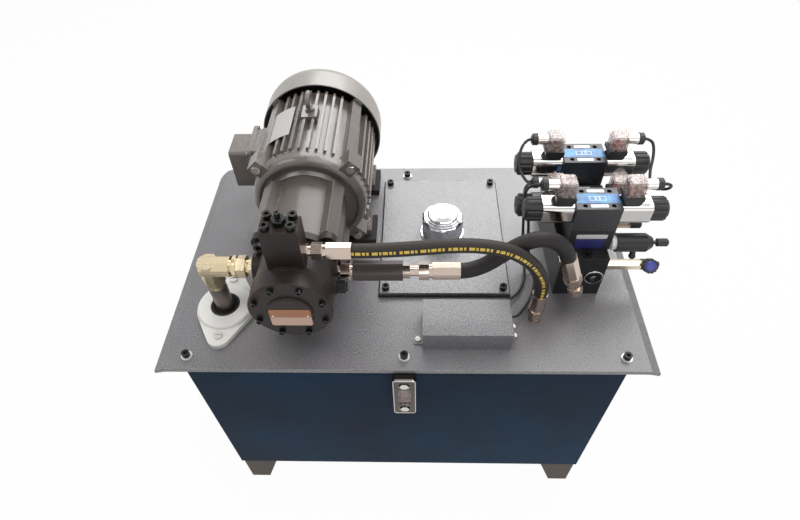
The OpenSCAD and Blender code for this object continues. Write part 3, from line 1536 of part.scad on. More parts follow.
module solenoid_cables() {
  beside = cable_r + fit;
  back = [jbox_x + jbox_w / 2 - 10, jbox_y + jbox_d / 2 + fit, lid_z + 10];
  side = [jbox_x + jbox_w / 2 + fit, jbox_y + 22, lid_z + 10];
  color("black") {
    tube(concat([gland_tip(0, -1)], above_lid(front_cable), [back]), cable_r, 8);
    tube(concat([gland_tip(1, -1) - [0, beside, 0]], above_lid(middle_cable), [side]), cable_r, 8);
    tube(concat([gland_tip(2, -1)], above_lid(left_jumper), [gland_tip(1, -1) + [0, beside, 0]]),
      cable_r, 8);
    tube(concat([gland_tip(0, 1)], above_lid(front_jumper), [gland_tip(1, 1) - [0, beside, 0]]), cable_r,
      8);
    tube(concat([gland_tip(2, 1)], above_lid(rear_jumper), [gland_tip(1, 1) + [0, beside, 0]]), cable_r, 8);
  }
}

// Spool with its two armatures and override pins, free to slide both ways
module spool(i) {
  reach = valve_w / 2 + spool_travel + fit;
  stop = valve_w / 2 + solenoid_l + coil_nut_l - pin_end_in;
  armature_end = valve_w / 2 + solenoid_l + 10 - spool_travel - fit;
  color("lightslategray") translate([stack_x, station_ys[i], valve_zs[i] + spool_z]) {
    difference() {
      rod_x(-reach, reach, spool_r);
      for (x = [-1, 1]) translate([x * valve_w / 5, 0, 0]) difference() {
        rod_x(-4, 4, spool_r + over);
        rod_x(-4 - over, 4 + over, spool_r - 2);
      }
    }
    for (s = [0, 1]) mirror([s, 0, 0]) {
      rod_x(reach, armature_end, armature_r);
      rod_x(armature_end, stop, pin_r);
    }
  }
}

module front_spool() {
  spool(0);
}

module middle_spool() {
  spool(1);
}

module rear_spool() {
  spool(2);
}

// Brass stem of the gauge valve with its black-bodied end, and the rear adjuster's hexagon sleeve
module brass_cartridges() {
  right = stack_x + valve_w / 2;
  color("goldenrod") {
    translate([block_x0 + block_w, block_y0 + gauge_stem_y, lid_z + gauge_stem_z]) {
      hex_x(0, gauge_stem_l, gauge_stem_af);
      rod_x(-11, 0, 5);
      rod_x(gauge_stem_l, gauge_stem_l + gauge_body_l, gauge_body_r - 3);
      rod_x(gauge_stem_l + gauge_body_l, gauge_stem_l + gauge_body_l + 9, 4.5);
    }
    translate([right + cartridge_collar_l, station_ys[0] + adjust_y, block_top + adjust_z]) difference() {
      union() {
        hex_x(0, cartridge_l, cartridge_af);
        rod_x(-6, 0, 4);
      }
      rod_x(cartridge_l - 12, cartridge_l + over, adjust_stem_r + fit);
    }
  }
}

// Knurled knob on a thin stem, along +X
module stem_knob(stem_in, stem_out, knob_r, knob_l) {
  notches = 16;
  rod_x(-stem_in, stem_out + over, adjust_stem_r);
  along_x(stem_out, stem_out + knob_l - 2) difference() {
    circle(knob_r);
    for (i = [0:notches - 1]) rotate(i * 360 / notches) translate([knob_r + 0.4, 0]) circle(0.9);
  }
  translate([stem_out + knob_l - 2, 0, 0]) rotate([0, 90, 0]) cylinder(r1 = knob_r - 1,
    r2 = knob_r - 2.5, h = 2);
}

module front_adjuster_knob() {
  color("dimgray") translate([stack_x + valve_w / 2 + adjust_l + 4, station_ys[0] - adjust_y,
    block_top + adjust_z])
    stem_knob(18, adjust_stem_l, adjust_knob_r, adjust_knob_l);
}

module rear_adjuster_knob() {
  x = stack_x + valve_w / 2 + cartridge_collar_l + cartridge_l;
  color("black") translate([x, station_ys[0] + adjust_y, block_top + adjust_z])
    stem_knob(10, fit, adjust_knob_r, cartridge_cap_l);
}

// Round knob of the gauge valve, turned towards the front
module gauge_knob() {
  x = block_x0 + block_w + gauge_stem_l + gauge_body_l / 2;
  clear = gauge_body_r - 3 + fit;
  color("black") translate([x, block_y0 + gauge_stem_y, lid_z + gauge_stem_z]) rotate([-gauge_turn, 0, 0])
    along_y(-clear - gauge_knob_l, -clear) difference() {
      circle(gauge_knob_r);
      for (i = [0:11]) rotate(i * 30) translate([gauge_knob_r + 0.8, 0]) circle(1.8);
    }
}

tank_shell();
tank_feet();
lid();
gaskets();
lid_screws();
cleanout_cover();
filler_neck();
strainers();
breather_cap();
level_gauge_frame();
level_gauge_glass();
panel_screws();
port_plugs();
junction_box();
suction_flange();
tank_pipes();
suction_elbow();
motor_frame();
motor_front_shield();
motor_rear_shield();
fan_cover();
stator();
motor_bearings();
motor_rotor();
cooling_fan();
terminal_box();
terminal_box_cover();
lifting_eye();
drive_bolts();
mount_pads();
pump_bracket();
shaft_coupling();
pump_body();
pump_cover();
socket_screws();
pump_rotor();
pressure_control();
pressure_adjuster();
volume_screw();
check_valve();
check_poppet();
hose_fittings();
pressure_hose();
drain_hose();
manifold_block();
sandwich_valves();
valve_bodies();
solenoid_tubes();
coil_nuts();
connector_bases();
connector_caps();
cable_glands();
solenoid_cables();
front_spool();
middle_spool();
rear_spool();
brass_cartridges();
front_adjuster_knob();
rear_adjuster_knob();
gauge_knob();
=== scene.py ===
"""Looks of a hydraulic power unit: a blue tank, its grey lid, and the drive, hoses and valves on the lid.

Sizes and places are in millimetres in the part's own frame, with the floor at z = 0. They become metres
when a mesh is written. Colours are sRGB bytes and become linear light when a finish is mixed.
"""

import logging
from dataclasses import dataclass, replace
from enum import Enum
from functools import lru_cache
from typing import ClassVar, Union

import bpy
import numpy as np
from mathutils import Matrix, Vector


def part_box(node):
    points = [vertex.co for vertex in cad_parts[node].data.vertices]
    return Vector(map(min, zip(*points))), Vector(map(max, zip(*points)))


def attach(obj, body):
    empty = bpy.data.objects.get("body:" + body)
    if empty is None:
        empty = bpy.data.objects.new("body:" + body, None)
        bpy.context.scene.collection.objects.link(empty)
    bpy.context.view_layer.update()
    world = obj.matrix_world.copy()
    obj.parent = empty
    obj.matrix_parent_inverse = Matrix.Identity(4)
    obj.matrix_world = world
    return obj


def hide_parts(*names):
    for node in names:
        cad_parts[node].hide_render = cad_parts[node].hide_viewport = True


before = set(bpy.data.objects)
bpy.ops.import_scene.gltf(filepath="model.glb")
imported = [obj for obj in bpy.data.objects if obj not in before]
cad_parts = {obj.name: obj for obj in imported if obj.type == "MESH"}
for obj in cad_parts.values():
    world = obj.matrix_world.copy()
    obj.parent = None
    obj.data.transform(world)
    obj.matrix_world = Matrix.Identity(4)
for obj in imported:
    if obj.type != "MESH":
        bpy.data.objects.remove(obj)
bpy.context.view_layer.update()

RGB = tuple[int, int, int]
Point = tuple[float, float, float]
Pair = tuple[float, float]
Pairs = tuple[Pair, ...]
Piece = bpy.types.Object
Value = Union["Sock", float]

MM = 0.001  # metres in a millimetre
LID = 480.0  # height of the lid's top face
FREE = 1e6  # a limit that no place reaches
BACKWARD: Point = (0.0, 1.0, 0.0)  # away from the front
DRIVE_AXIS = (-160.0, 592.0)  # x and z of the shaft of motor and pump
SUNK = 0.05  # how far the foot of a label lies in its face

log = logging.getLogger("power_unit")


def linear(rgb: RGB, gain: float = 1.0) -> tuple[float, float, float, float]:
    """Linear light of an sRGB colour, by the standard's two-part curve.

    Args:
        rgb: Red, green and blue from 0 to 255.
        gain: Factor on the linear light.

    Returns:
        Red, green, blue and an alpha of one.
    """
    c = np.asarray(rgb, float) / 255.0
    lit = np.where(c <= 0.04045, c / 12.92, ((c + 0.055) / 1.055) ** 2.4) * gain
    return (*(float(v) for v in np.clip(lit, 0.0, 1.0)), 1.0)


@dataclass(frozen=True)
class Sock:
    """An output of a shader node, on which plain arithmetic adds Math nodes."""

    graph: "Graph"
    socket: bpy.types.NodeSocket

    def __add__(self, other: Value) -> "Sock":
        """Sum."""
        return self.graph.math("ADD", self, other)

    __radd__ = __add__

    def __sub__(self, other: Value) -> "Sock":
        """Difference."""
        return self.graph.math("SUBTRACT", self, other)

    def __rsub__(self, other: Value) -> "Sock":
        """Difference from a number."""
        return self.graph.math("SUBTRACT", other, self)

    def __mul__(self, other: Value) -> "Sock":
        """Product."""
        return self.graph.math("MULTIPLY", self, other)

    __rmul__ = __mul__

    def __mod__(self, other: Value) -> "Sock":
        """Remainder, never negative."""
        return self.graph.math("FLOORED_MODULO", self, other)

    def __gt__(self, other: Value) -> "Sock":
        """One where greater, else nought."""
        return self.graph.math("GREATER_THAN", self, other)

    def __lt__(self, other: Value) -> "Sock":
        """One where less, else nought."""
        return self.graph.math("LESS_THAN", self, other)

    def __abs__(self) -> "Sock":
        """Size without sign."""
        return self.graph.math("ABSOLUTE", self, 0.0)

    def largest(self, other: Value) -> "Sock":
        """Greater of two values."""
        return self.graph.math("MAXIMUM", self, other)

    def sine(self) -> "Sock":
        """Sine of an angle in radians."""
        return self.graph.math("SINE", self, 0.0)

    def between(self, low: float, high: float) -> "Sock":
        """Smooth rise from nought at low to one at high."""
        return self.graph.node("ShaderNodeMapRange", {"interpolation_type": "SMOOTHSTEP"},
                               {0: self, 1: low, 2: high})

    def stretched(self, scale: Point) -> "Sock":
        """Vector with each part multiplied."""
        return self.graph.node("ShaderNodeVectorMath", {"operation": "MULTIPLY"},
                               {0: self, 1: scale})

    def dot(self, other: "Sock") -> "Sock":
        """Dot product of two vectors."""
        return self.graph.node("ShaderNodeVectorMath", {"operation": "DOT_PRODUCT"},
                               {0: self, 1: other}, 1)

    def parts(self) -> tuple["Sock", "Sock", "Sock"]:
        """The three parts of a vector."""
        split = self.graph.node("ShaderNodeSeparateXYZ", inputs={0: self})
        return tuple(Sock(self.graph, out) for out in split.socket.node.outputs)


class Graph:
    """A node tree that is filled by expressions on its sockets."""

    def __init__(self, owner: bpy.types.Material | bpy.types.World) -> None:
        """Takes over the tree of a material or of the world, and empties it."""
        owner.use_nodes = True
        self.tree = owner.node_tree
        self.tree.nodes.clear()

    def node(self, kind: str, settings: dict | None = None, inputs: dict | None = None,
             output: int | str = 0) -> Sock:
        """Adds a node of any type.

        Args:
            kind: Blender's name of the node type.
            settings: Properties of the node, set before its sockets.
            inputs: Numbers, colours or sockets for its inputs, by name or index.
            output: The output that is handed back.

        Returns:
            The chosen output.
        """
        made = self.tree.nodes.new(kind)
        for key, value in (settings or {}).items():
            setattr(made, key, value)
        for key, value in (inputs or {}).items():
            if isinstance(value, Sock):
                self.tree.links.new(value.socket, made.inputs[key])
            else:
                made.inputs[key].default_value = value
        return Sock(self, made.outputs[output])

    def close(self, kind: str, surface: Sock) -> None:
        """Ends the tree in an output node of that type."""
        self.tree.links.new(surface.socket, self.tree.nodes.new(kind).inputs["Surface"])

    def math(self, operation: str, a: Value, b: Value) -> Sock:
        """A Math node on two values."""
        return self.node("ShaderNodeMath", {"operation": operation}, {0: a, 1: b})

    def mix(self, share: Value, a: object, b: object) -> Sock:
        """Colour a where share is nought and b where it is one."""
        return self.node("ShaderNodeMix", {"data_type": "RGBA"}, {0: share, 6: a, 7: b}, 2)

    def place(self) -> Sock:
        """Object coordinates, which are the part's frame in metres."""
        return self.node("ShaderNodeTexCoord", output="Object")

    def laid(self) -> tuple[Sock, Sock]:
        """The surface's own coordinates, across and along, in metres."""
        across, along, _ = self.node("ShaderNodeUVMap", {"uv_map": "laid"}).parts()
        return across, along

    def noise(self, at: Sock, size: float, detail: float = 2.0) -> Sock:
        """Cloudy values from nought to one, with features of a size in millimetres."""
        return self.node("ShaderNodeTexNoise",
                         inputs={"Vector": at, "Scale": 1 / (size * MM), "Detail": detail})


class Grain(Enum):
    """How a surface breaks up close to."""

    PLAIN = "plain"
    CAST = "cast"
    SPECKLED = "speckled"
    STREAKED = "streaked"
    DRAWN = "drawn"
    WRAPPED = "wrapped"


@dataclass(frozen=True)
class Zone:
    """A box of the part's frame in which a node shows another colour and surface: mostly another coat,
    and on the gauge painted shade.
    """

    low: Point
    high: Point
    colour: RGB
    roughness: float
    metallic: float

    def inside(self, graph: Graph) -> Sock:
        """One inside the box: the product of a step at each side that isn't left free."""
        mask: Value = 1.0
        for part, low, high in zip(graph.place().parts(), self.low, self.high):
            mask = mask * (part > low * MM) if low > -FREE else mask
            mask = mask * (part < high * MM) if high < FREE else mask
        return mask


@dataclass(frozen=True)
class Print:
    """Dashes that repeat along a line, on the surface's own coordinates in millimetres."""

    colour: RGB
    half_width: float
    pitch: float
    dashes: tuple[Pair, ...]

    def inside(self, graph: Graph) -> Sock:
        """One on a dash: a band about the middle, cut by windows in each pitch of the length."""
        across, along = graph.laid()
        step = along % (self.pitch * MM)
        marks: Value = 0.0
        for start, stop in self.dashes:
            marks = (step > start * MM) * (step < stop * MM) + marks
        return marks * (abs(across) < self.half_width * MM)


@dataclass(frozen=True)
class Symbol:
    """A generic row of boxes printed on a label, on its own coordinates in millimetres."""

    colour: RGB
    box: float
    count: int
    line: float

    def inside(self, graph: Graph) -> Sock:
        """One on a line: the frame of the row, and the walls where the length leaves no remainder."""
        across, along = graph.laid()
        half_w = self.box * self.count / 2
        half_h = self.box / 2
        near = (abs(across) < (half_w + self.line) * MM) * (abs(along) < (half_h + self.line) * MM)
        wall = ((across + half_w * MM + self.line * MM / 2) % (self.box * MM)) < self.line * MM
        edge = abs(along) > half_h * MM
        lead = (abs(abs(across) - self.box * MM / 4) < self.line * MM / 2) * (abs(along) < half_h * MM)
        return (near * wall.largest(edge)).largest(lead)


@dataclass(frozen=True)
class Finish:
    """A coat or a bare material, with the detail that it shows close to.

    Sizes are in millimetres. The grain's tone takes the colour's light down and up by the mottle, and the
    roughness by half the swing. Edges are softened over a radius and lightened towards the edge colour,
    which is painted highlight along the edges and, on some finishes, wear.
    """

    BROAD: ClassVar[float] = 45.0
    EDGE_PATCH: ClassVar[float] = 6.0
    STREAKS_PER_M: ClassVar[Point] = (8.0, 8.0, 290.0)
    DRAWN_PER_M: ClassVar[Point] = (40.0, 900.0, 900.0)
    COAT_ROUGHNESS: ClassVar[float] = 0.12

    name: str
    colour: RGB
    roughness: float
    metallic: float = 0.0
    alpha: float = 1.0
    coat: float = 0.0
    gloss: float = 0.5
    grain: Grain = Grain.PLAIN
    size: float = 2.0
    depth: float = 0.03
    mottle: float = 0.08
    swing: float = 0.12
    edge: float = 0.5
    edge_highlight_and_wear: float = 0.0
    edge_highlight_and_wear_colour: RGB = (168, 165, 160)
    drift: RGB | None = None
    drift_size: float = 170.0
    marks: tuple[Zone | Print | Symbol, ...] = ()

    def grain_of(self, graph: Graph) -> tuple[Sock, Sock]:
        """Colour tone and bump height of the grain, both from nought to one.

        Castings add a coarse skin to a fine one, speckle is fine alone, streaks and drawing marks are
        noise pulled out along one direction, and a wrapped hose shows the crossed threads of its cloth.

        Args:
            graph: The material's graph.

        Returns:
            Tone and height.
        """
        at = graph.place()
        broad = graph.noise(at, self.BROAD, 3.0)
        fine = graph.noise(at, self.size, 3.0)
        match self.grain:
            case Grain.CAST:
                coarse = graph.noise(at, self.size * 4, 1.0)
                return broad * 0.45 + fine * 0.55, fine * 0.7 + coarse * 0.9
            case Grain.SPECKLED:
                speckle = graph.noise(at, self.size * 0.8, 1.0).between(0.25, 0.75)
                return broad * 0.25 + speckle * 0.75, fine
            case Grain.STREAKED:
                pulled = graph.noise(at.stretched(self.STREAKS_PER_M), 1 / MM, 4.0)
                return pulled * 0.7 + broad * 0.3, pulled
            case Grain.DRAWN:
                pulled = graph.noise(at.stretched(self.DRAWN_PER_M), 1 / MM, 2.0)
                return pulled * 0.6 + broad * 0.4, pulled
            case Grain.WRAPPED:
                across, along = graph.laid()
                turn = 2 * np.pi / (self.size * MM)
                threads = ((across + along) * turn).sine() * ((across - along) * turn).sine()
                return broad * 0.7 + threads * 0.15 + 0.15, threads * 0.5 + fine * 0.5
        return broad * 0.8 + fine * 0.2, fine

    def toned(self, graph: Graph, tone: Sock, rgb: RGB) -> Sock:
        """A colour that the tone takes from darker to lighter by the mottle."""
        return graph.mix(tone, linear(rgb, 1 - self.mottle), linear(rgb, 1 + self.mottle))

    def shader(self, graph: Graph) -> Sock:
        """Principled shader of the finish, its edges rounded in the normals and lightened by painted edge
        highlights and wear.

        Args:
            graph: The material's graph.

        Returns:
            The shader.
        """
        tone, height = self.grain_of(graph)
        colour = self.toned(graph, tone, self.colour)
        if self.drift:
            share = graph.noise(graph.place(), self.drift_size, 3.0).between(0.32, 0.68)
            colour = graph.mix(share, colour, self.toned(graph, tone, self.drift))
        rough: Value = tone * self.swing + (self.roughness - self.swing / 2)
        metal: Value = self.metallic
        soft = graph.node("ShaderNodeBevel", {"samples": 4}, {"Radius": self.edge * MM})
        # Painted edge highlight and wear: where the rounded normal turns from the surface's own, the
        # colour is lightened in patches towards the edge colour.
        if self.edge_highlight_and_wear:
            turned = 1 - soft.dot(graph.node("ShaderNodeNewGeometry", output="Normal"))
            edge_patches = graph.noise(graph.place(), self.EDGE_PATCH, 4.0).between(0.35, 0.65)
            edge_highlight_and_wear_mask = turned.between(0.01, 0.1) * edge_patches * self.edge_highlight_and_wear
            colour = graph.mix(edge_highlight_and_wear_mask, colour, linear(self.edge_highlight_and_wear_colour))
        for mark in self.marks:
            mask = mark.inside(graph)
            colour = graph.mix(mask, colour, linear(mark.colour))
            if isinstance(mark, Zone):
                rough = rough + mask * (mark.roughness - rough)
                metal = metal + mask * (mark.metallic - metal)
        bump = graph.node("ShaderNodeBump", inputs={"Strength": 1.0, "Distance": self.depth * MM,
                                                    "Height": height, "Normal": soft})
        return graph.node("ShaderNodeBsdfPrincipled", inputs={
            "Base Color": colour, "Roughness": rough, "Metallic": metal, "Alpha": self.alpha,
            "Coat Weight": self.coat, "Coat Roughness": self.COAT_ROUGHNESS,
            "Specular IOR Level": self.gloss, "Normal": bump})


@lru_cache(maxsize=None)
def material(finish: Finish) -> bpy.types.Material:
    """The material of a finish, made once.

    Args:
        finish: The finish.

    Returns:
        Its material.
    """
    made = bpy.data.materials.new(finish.name)
    graph = Graph(made)
    graph.close("ShaderNodeOutputMaterial", finish.shader(graph))
    return made


TANK_BLUE = Finish(
    "tank_blue", (33, 47, 66), 0.46, gloss=0.03, grain=Grain.STREAKED, mottle=0.5, edge_highlight_and_wear=0.4,
    edge_highlight_and_wear_colour=(86, 98, 112), drift=(30, 58, 82), drift_size=260.0)
FOOT_TAUPE = Finish("foot_taupe", (84, 76, 69), 0.7, grain=Grain.CAST, size=1.5, depth=0.05)
# Lid paint: the strong mottle of its speckle is partly the coat's own speckle and partly painted glints
# of its hammered surface. Its light edge colour is painted highlight along the edges, as on the panel and
# box below.
LID_GREY = Finish(
    "lid_grey", (112, 110, 113), 0.32, gloss=1.0, grain=Grain.SPECKLED, size=2.4, depth=0.5, mottle=0.55,
    edge=2.2, edge_highlight_and_wear=0.8, edge_highlight_and_wear_colour=(196, 196, 198))
PANEL_GREY = replace(LID_GREY, name="panel_grey", colour=(120, 120, 123), edge_highlight_and_wear=1.0, edge_highlight_and_wear_colour=(222, 222, 224))
BOX_GREY = replace(PANEL_GREY, name="box_grey", edge=1.6)
# Its light edge colour is painted highlight on the fin edges and the other edges of the castings.
MOTOR_GREY = Finish(
    "motor_grey", (106, 99, 94), 0.32, coat=0.5, grain=Grain.CAST, size=4.2, depth=0.7, mottle=0.2,
    edge=1.4, edge_highlight_and_wear=0.6, edge_highlight_and_wear_colour=(196, 190, 185))
FAN_GREY = Finish(
    "fan_grey", (144, 139, 134), 0.36, coat=0.3, size=3.0, depth=0.02, mottle=0.05, edge=1.5)
BELL_GREY = Finish(
    "bell_grey", (88, 80, 76), 0.42, coat=0.2, grain=Grain.CAST, size=4.2, depth=0.6, mottle=0.22,
    edge=1.8, edge_highlight_and_wear=0.5, edge_highlight_and_wear_colour=(192, 185, 180))
# Its light edge colour is painted highlight along the casting's edges.
PUMP_BROWN = Finish(
    "pump_brown", (41, 32, 30), 0.42, gloss=0.28, grain=Grain.CAST, size=1.8, depth=0.16, mottle=0.2,
    edge=1.2, edge_highlight_and_wear=0.5, edge_highlight_and_wear_colour=(112, 102, 98))
# Its light edge colour is painted highlight along the valves' edges, where the parting lines show; the
# adjuster below keeps it.
VALVE_BLACK = Finish(
    "valve_black", (40, 39, 44), 0.4, gloss=0.6, grain=Grain.CAST, size=1.2, depth=0.08, mottle=0.15,
    edge=0.8, edge_highlight_and_wear=0.7, edge_highlight_and_wear_colour=(128, 126, 132))
WHITE_COLLAR = Zone((325.2, -90.0, 560.0), (332.4, -50.0, 620.0), (232, 232, 230), 0.35, 0.0)
ADJUSTER_BLACK = replace(
    VALVE_BLACK, name="adjuster_black", colour=(32, 31, 33), roughness=0.42, gloss=0.4, size=2.2,
    depth=0.3, mottle=0.3, marks=(WHITE_COLLAR,))
BLOCK_BLACK = Finish(
    "block_black", (37, 37, 40), 0.34, 0.35, grain=Grain.DRAWN, depth=0.01, edge=0.6, edge_highlight_and_wear=0.35,
    edge_highlight_and_wear_colour=(120, 120, 124))
BLACK_PLASTIC = Finish("black_plastic", (34, 34, 35), 0.45, size=0.7, edge=0.6)
# Its light edge colour is painted highlight on the rims of the screw heads, also on the lid screws below.
BLACK_STEEL = Finish(
    "black_steel", (36, 36, 37), 0.28, 0.75, size=0.8, depth=0.01, edge=0.6, edge_highlight_and_wear=0.9,
    edge_highlight_and_wear_colour=(158, 155, 152))
WASHER = Zone((-FREE, -FREE, 470.0), (FREE, FREE, LID + 1.7), (226, 226, 226), 0.3, 0.3)
LID_SCREW = replace(BLACK_STEEL, name="lid_screw", edge_highlight_and_wear_colour=(150, 148, 146), marks=(WASHER,))
BRIGHT_ZINC = Finish("bright_zinc", (206, 203, 198), 0.24, 1.0, size=0.9, depth=0.01)
FITTING_ZINC = Finish("fitting_zinc", (200, 184, 171), 0.15, 1.0, grain=Grain.DRAWN, depth=0.008)
GROUND_STEEL = Finish("ground_steel", (178, 178, 180), 0.3, 1.0, grain=Grain.DRAWN, depth=0.008, edge=0.3)
# Its light edge colour is painted highlight along the check valve's edges.
CHECK_BROWN = Finish(
    "check_brown", (84, 74, 75), 0.26, 0.6, grain=Grain.DRAWN, depth=0.01, edge=0.9, edge_highlight_and_wear=0.8,
    edge_highlight_and_wear_colour=(140, 128, 132))
YELLOW_ZINC = Finish(
    "yellow_zinc", (214, 198, 166), 0.24, 1.0, grain=Grain.CAST, size=3.4, depth=0.12, mottle=0.2,
    edge=0.8)
BLACK_END = Zone((381.0, -FREE, -FREE), (FREE, -60.0, FREE), (36, 36, 38), 0.4, 0.3)
BRASS = Finish(
    "turned_brass", (212, 201, 178), 0.25, 1.0, grain=Grain.DRAWN, depth=0.006, edge=0.4,
    marks=(BLACK_END,))
CHROME = Finish(
    "chrome", (228, 228, 230), 0.09, 1.0, size=8.0, depth=0.004, mottle=0.03, swing=0.05, edge=0.9)
TUBE_CHROME = Finish(
    "tube_chrome", (186, 184, 182), 0.12, 1.0, grain=Grain.DRAWN, depth=0.006, swing=0.06, edge=0.9)
CAP_CHROME = replace(
    CHROME, name="cap_chrome", colour=(206, 206, 209), roughness=0.07, mottle=0.05, swing=0.04, edge=0.6)
PIPE_STEEL = Finish(
    "pipe_steel", (120, 112, 106), 0.34, 0.9, grain=Grain.CAST, size=3.0, mottle=0.2, edge=0.6)
# Painted shade and dark reflection: the gauge frame behind its front face is coloured near black.
GAUGE_PAINTED_SHADE = Zone((-FREE, -240.5, -FREE), (FREE, FREE, FREE), (26, 26, 27), 0.5, 0.0)
# Gauge frame: its light edge colour is painted highlight along the frame's edges.
GAUGE_CHROME = Finish(
    "gauge_chrome", (78, 71, 66), 0.22, 1.0, size=6.0, depth=0.004, mottle=0.2, swing=0.06, edge=2.0,
    edge_highlight_and_wear=1.0, edge_highlight_and_wear_colour=(244, 242, 240), marks=(GAUGE_PAINTED_SHADE,))
LEFT_BOOTS = Zone((-FREE, -FREE, -FREE), (212.6, FREE, FREE), (30, 29, 29), 0.4, 0.0)
RIGHT_BOOTS = replace(LEFT_BOOTS, low=(370.4, -FREE, -FREE), high=(FREE, FREE, FREE))
GLAND_NICKEL = Finish(
    "gland_nickel", (214, 207, 203), 0.16, 0.9, size=5.0, depth=0.006, mottle=0.1,
    marks=(LEFT_BOOTS, RIGHT_BOOTS))
MESH_STEEL = Finish("mesh_steel", (170, 170, 170), 0.4, 1.0, size=1.0, depth=0.05)
FLANGE_WHITE = Finish(
    "flange_white", (240, 239, 235), 0.35, coat=0.3, grain=Grain.CAST, size=2.5, depth=0.02, mottle=0.04,
    edge=1.0)
SEAL_BLACK = Finish("seal_black", (30, 30, 31), 0.7, size=1.0)
PAD_RUBBER = Finish("pad_rubber", (34, 33, 33), 0.75, size=1.2, depth=0.06)
HOSE_RUBBER = Finish(
    "hose_rubber", (36, 33, 32), 0.55, gloss=0.3, grain=Grain.WRAPPED, size=2.2, depth=0.05, mottle=0.12,
    edge=0.2)
LAY_LINE = Print(
    (236, 204, 92), 2.3, 66.0,
    ((0, 4), (6, 13), (15, 19), (21, 24), (28, 36), (38, 41), (43, 50), (52, 56), (58, 61)))
PRINTED_HOSE = replace(
    HOSE_RUBBER, name="printed_hose", colour=(44, 39, 36), roughness=0.52, marks=(LAY_LINE,))
CABLE_SHEATH = Finish("cable_sheath", (30, 30, 31), 0.45, size=1.5, depth=0.02, edge=0.2)
CLEAR_GLASS = Finish(
    "clear_glass", (226, 204, 198), 0.06, alpha=0.35, coat=1.0, depth=0.004, mottle=0.03, swing=0.02)
# Clear caps: the strong speckled mottle is painted glints and painted dark patches in the clear plastic,
# and the light edge colour is painted highlight along the edges.
CLEAR_CAP = Finish(
    "clear_cap", (190, 170, 163), 0.1, alpha=0.42, coat=1.0, grain=Grain.SPECKLED, size=7.0, depth=0.6,
    mottle=0.9, swing=0.06, edge=0.8, edge_highlight_and_wear=0.8, edge_highlight_and_wear_colour=(240, 234, 230))
WINDING = Finish("winding", (150, 84, 48), 0.4, 0.6, depth=0.2, mottle=0.2)
FAN_PLASTIC = Finish("fan_plastic", (30, 30, 30), 0.55, size=0.7)
PALE_HALF = Zone((-FREE, -FREE, -FREE), (FREE, FREE, 584.0), (190, 160, 144), 0.32, 0.6)
COPPER_PLATE = Finish(
    "copper_plate", (160, 110, 82), 0.34, 0.6, grain=Grain.DRAWN, depth=0.01, mottle=0.2, edge=0.3,
    marks=(PALE_HALF,))
SILVER_PLATE = Finish(
    "silver_plate", (196, 193, 190), 0.34, 0.8, grain=Grain.DRAWN, depth=0.008, mottle=0.1, edge=0.3)
LABEL_BLUE = Finish(
    "label_blue", (24, 94, 158), 0.36, coat=0.2, size=6.0, depth=0.004, mottle=0.07, edge=0.1,
    drift=(56, 148, 198), drift_size=18.0, marks=(Symbol((222, 232, 238), 8.0, 3, 0.7),))
LABEL_WHITE = Finish(
    "label_white", (226, 228, 232), 0.34, coat=0.3, size=6.0, depth=0.004, mottle=0.03, edge=0.1)
LABEL_NAVY = replace(LABEL_WHITE, name="label_navy", colour=(44, 46, 112), mottle=0.08)
KNOB_BLUE = Finish("knob_blue", (46, 58, 158), 0.3, coat=0.4, size=4.0, depth=0.004, edge=0.2)
LAMP_RED = Finish("lamp_red", (186, 52, 50), 0.25, coat=0.6, size=3.0, depth=0.01, mottle=0.2, edge=0.3)
SCALE_PINK = Finish("scale_pink", (172, 128, 124), 0.4, size=3.0, depth=0.01, mottle=0.4, edge=0.2)


def skin(name: str, loops: np.ndarray, laid: np.ndarray | None = None, smooth: bool = True,
         ring: bool = False) -> Piece:
    """Skin over a stack of closed loops.

    Vertex (i, j) is point j of loop i. Face (i, j) joins it to the next point round the loop and to the
    same two points of the next loop, and one polygon fills each end. In a ring the last loop joins the
    first, and there are no ends. Loops that turn left about the way of the stack face outwards.

    Args:
        name: The piece's name.
        loops: Points in millimetres, one row of them for each loop.
        laid: Across and along coordinates in millimetres, with one column more than the loops' points.
        smooth: True to shade the sides as one curved surface.
        ring: True to join the last loop to the first.

    Returns:
        The piece, at the origin.
    """
    rows, n, _ = loops.shape
    i, j = np.meshgrid(np.arange(rows if ring else rows - 1), np.arange(n), indexing="ij")
    k = (j + 1) % n
    m = (i + 1) % rows
    quads = np.stack([i * n + j, i * n + k, m * n + k, m * n + j], -1).reshape(-1, 4)
    ends = [] if ring else [list(range(n))[::-1], list(range((rows - 1) * n, rows * n))]
    mesh = bpy.data.meshes.new(name)
    mesh.from_pydata((loops.reshape(-1, 3) * MM).tolist(), [], quads.tolist() + ends)
    mesh.polygons.foreach_set("use_smooth", [smooth] * len(quads) + [False] * len(ends))
    if laid is not None:
        corners = np.stack([laid[i, j], laid[i, j + 1], laid[i + 1, j + 1], laid[i + 1, j]], 2)
        flat = np.concatenate([corners.reshape(-1, 2), laid[0, :n][::-1], laid[-1, :n]]) * MM
        mesh.uv_layers.new(name="laid").data.foreach_set("uv", flat.ravel())
    mesh.update()
    piece = bpy.data.objects.new(name, mesh)
    bpy.context.scene.collection.objects.link(piece)
    return piece


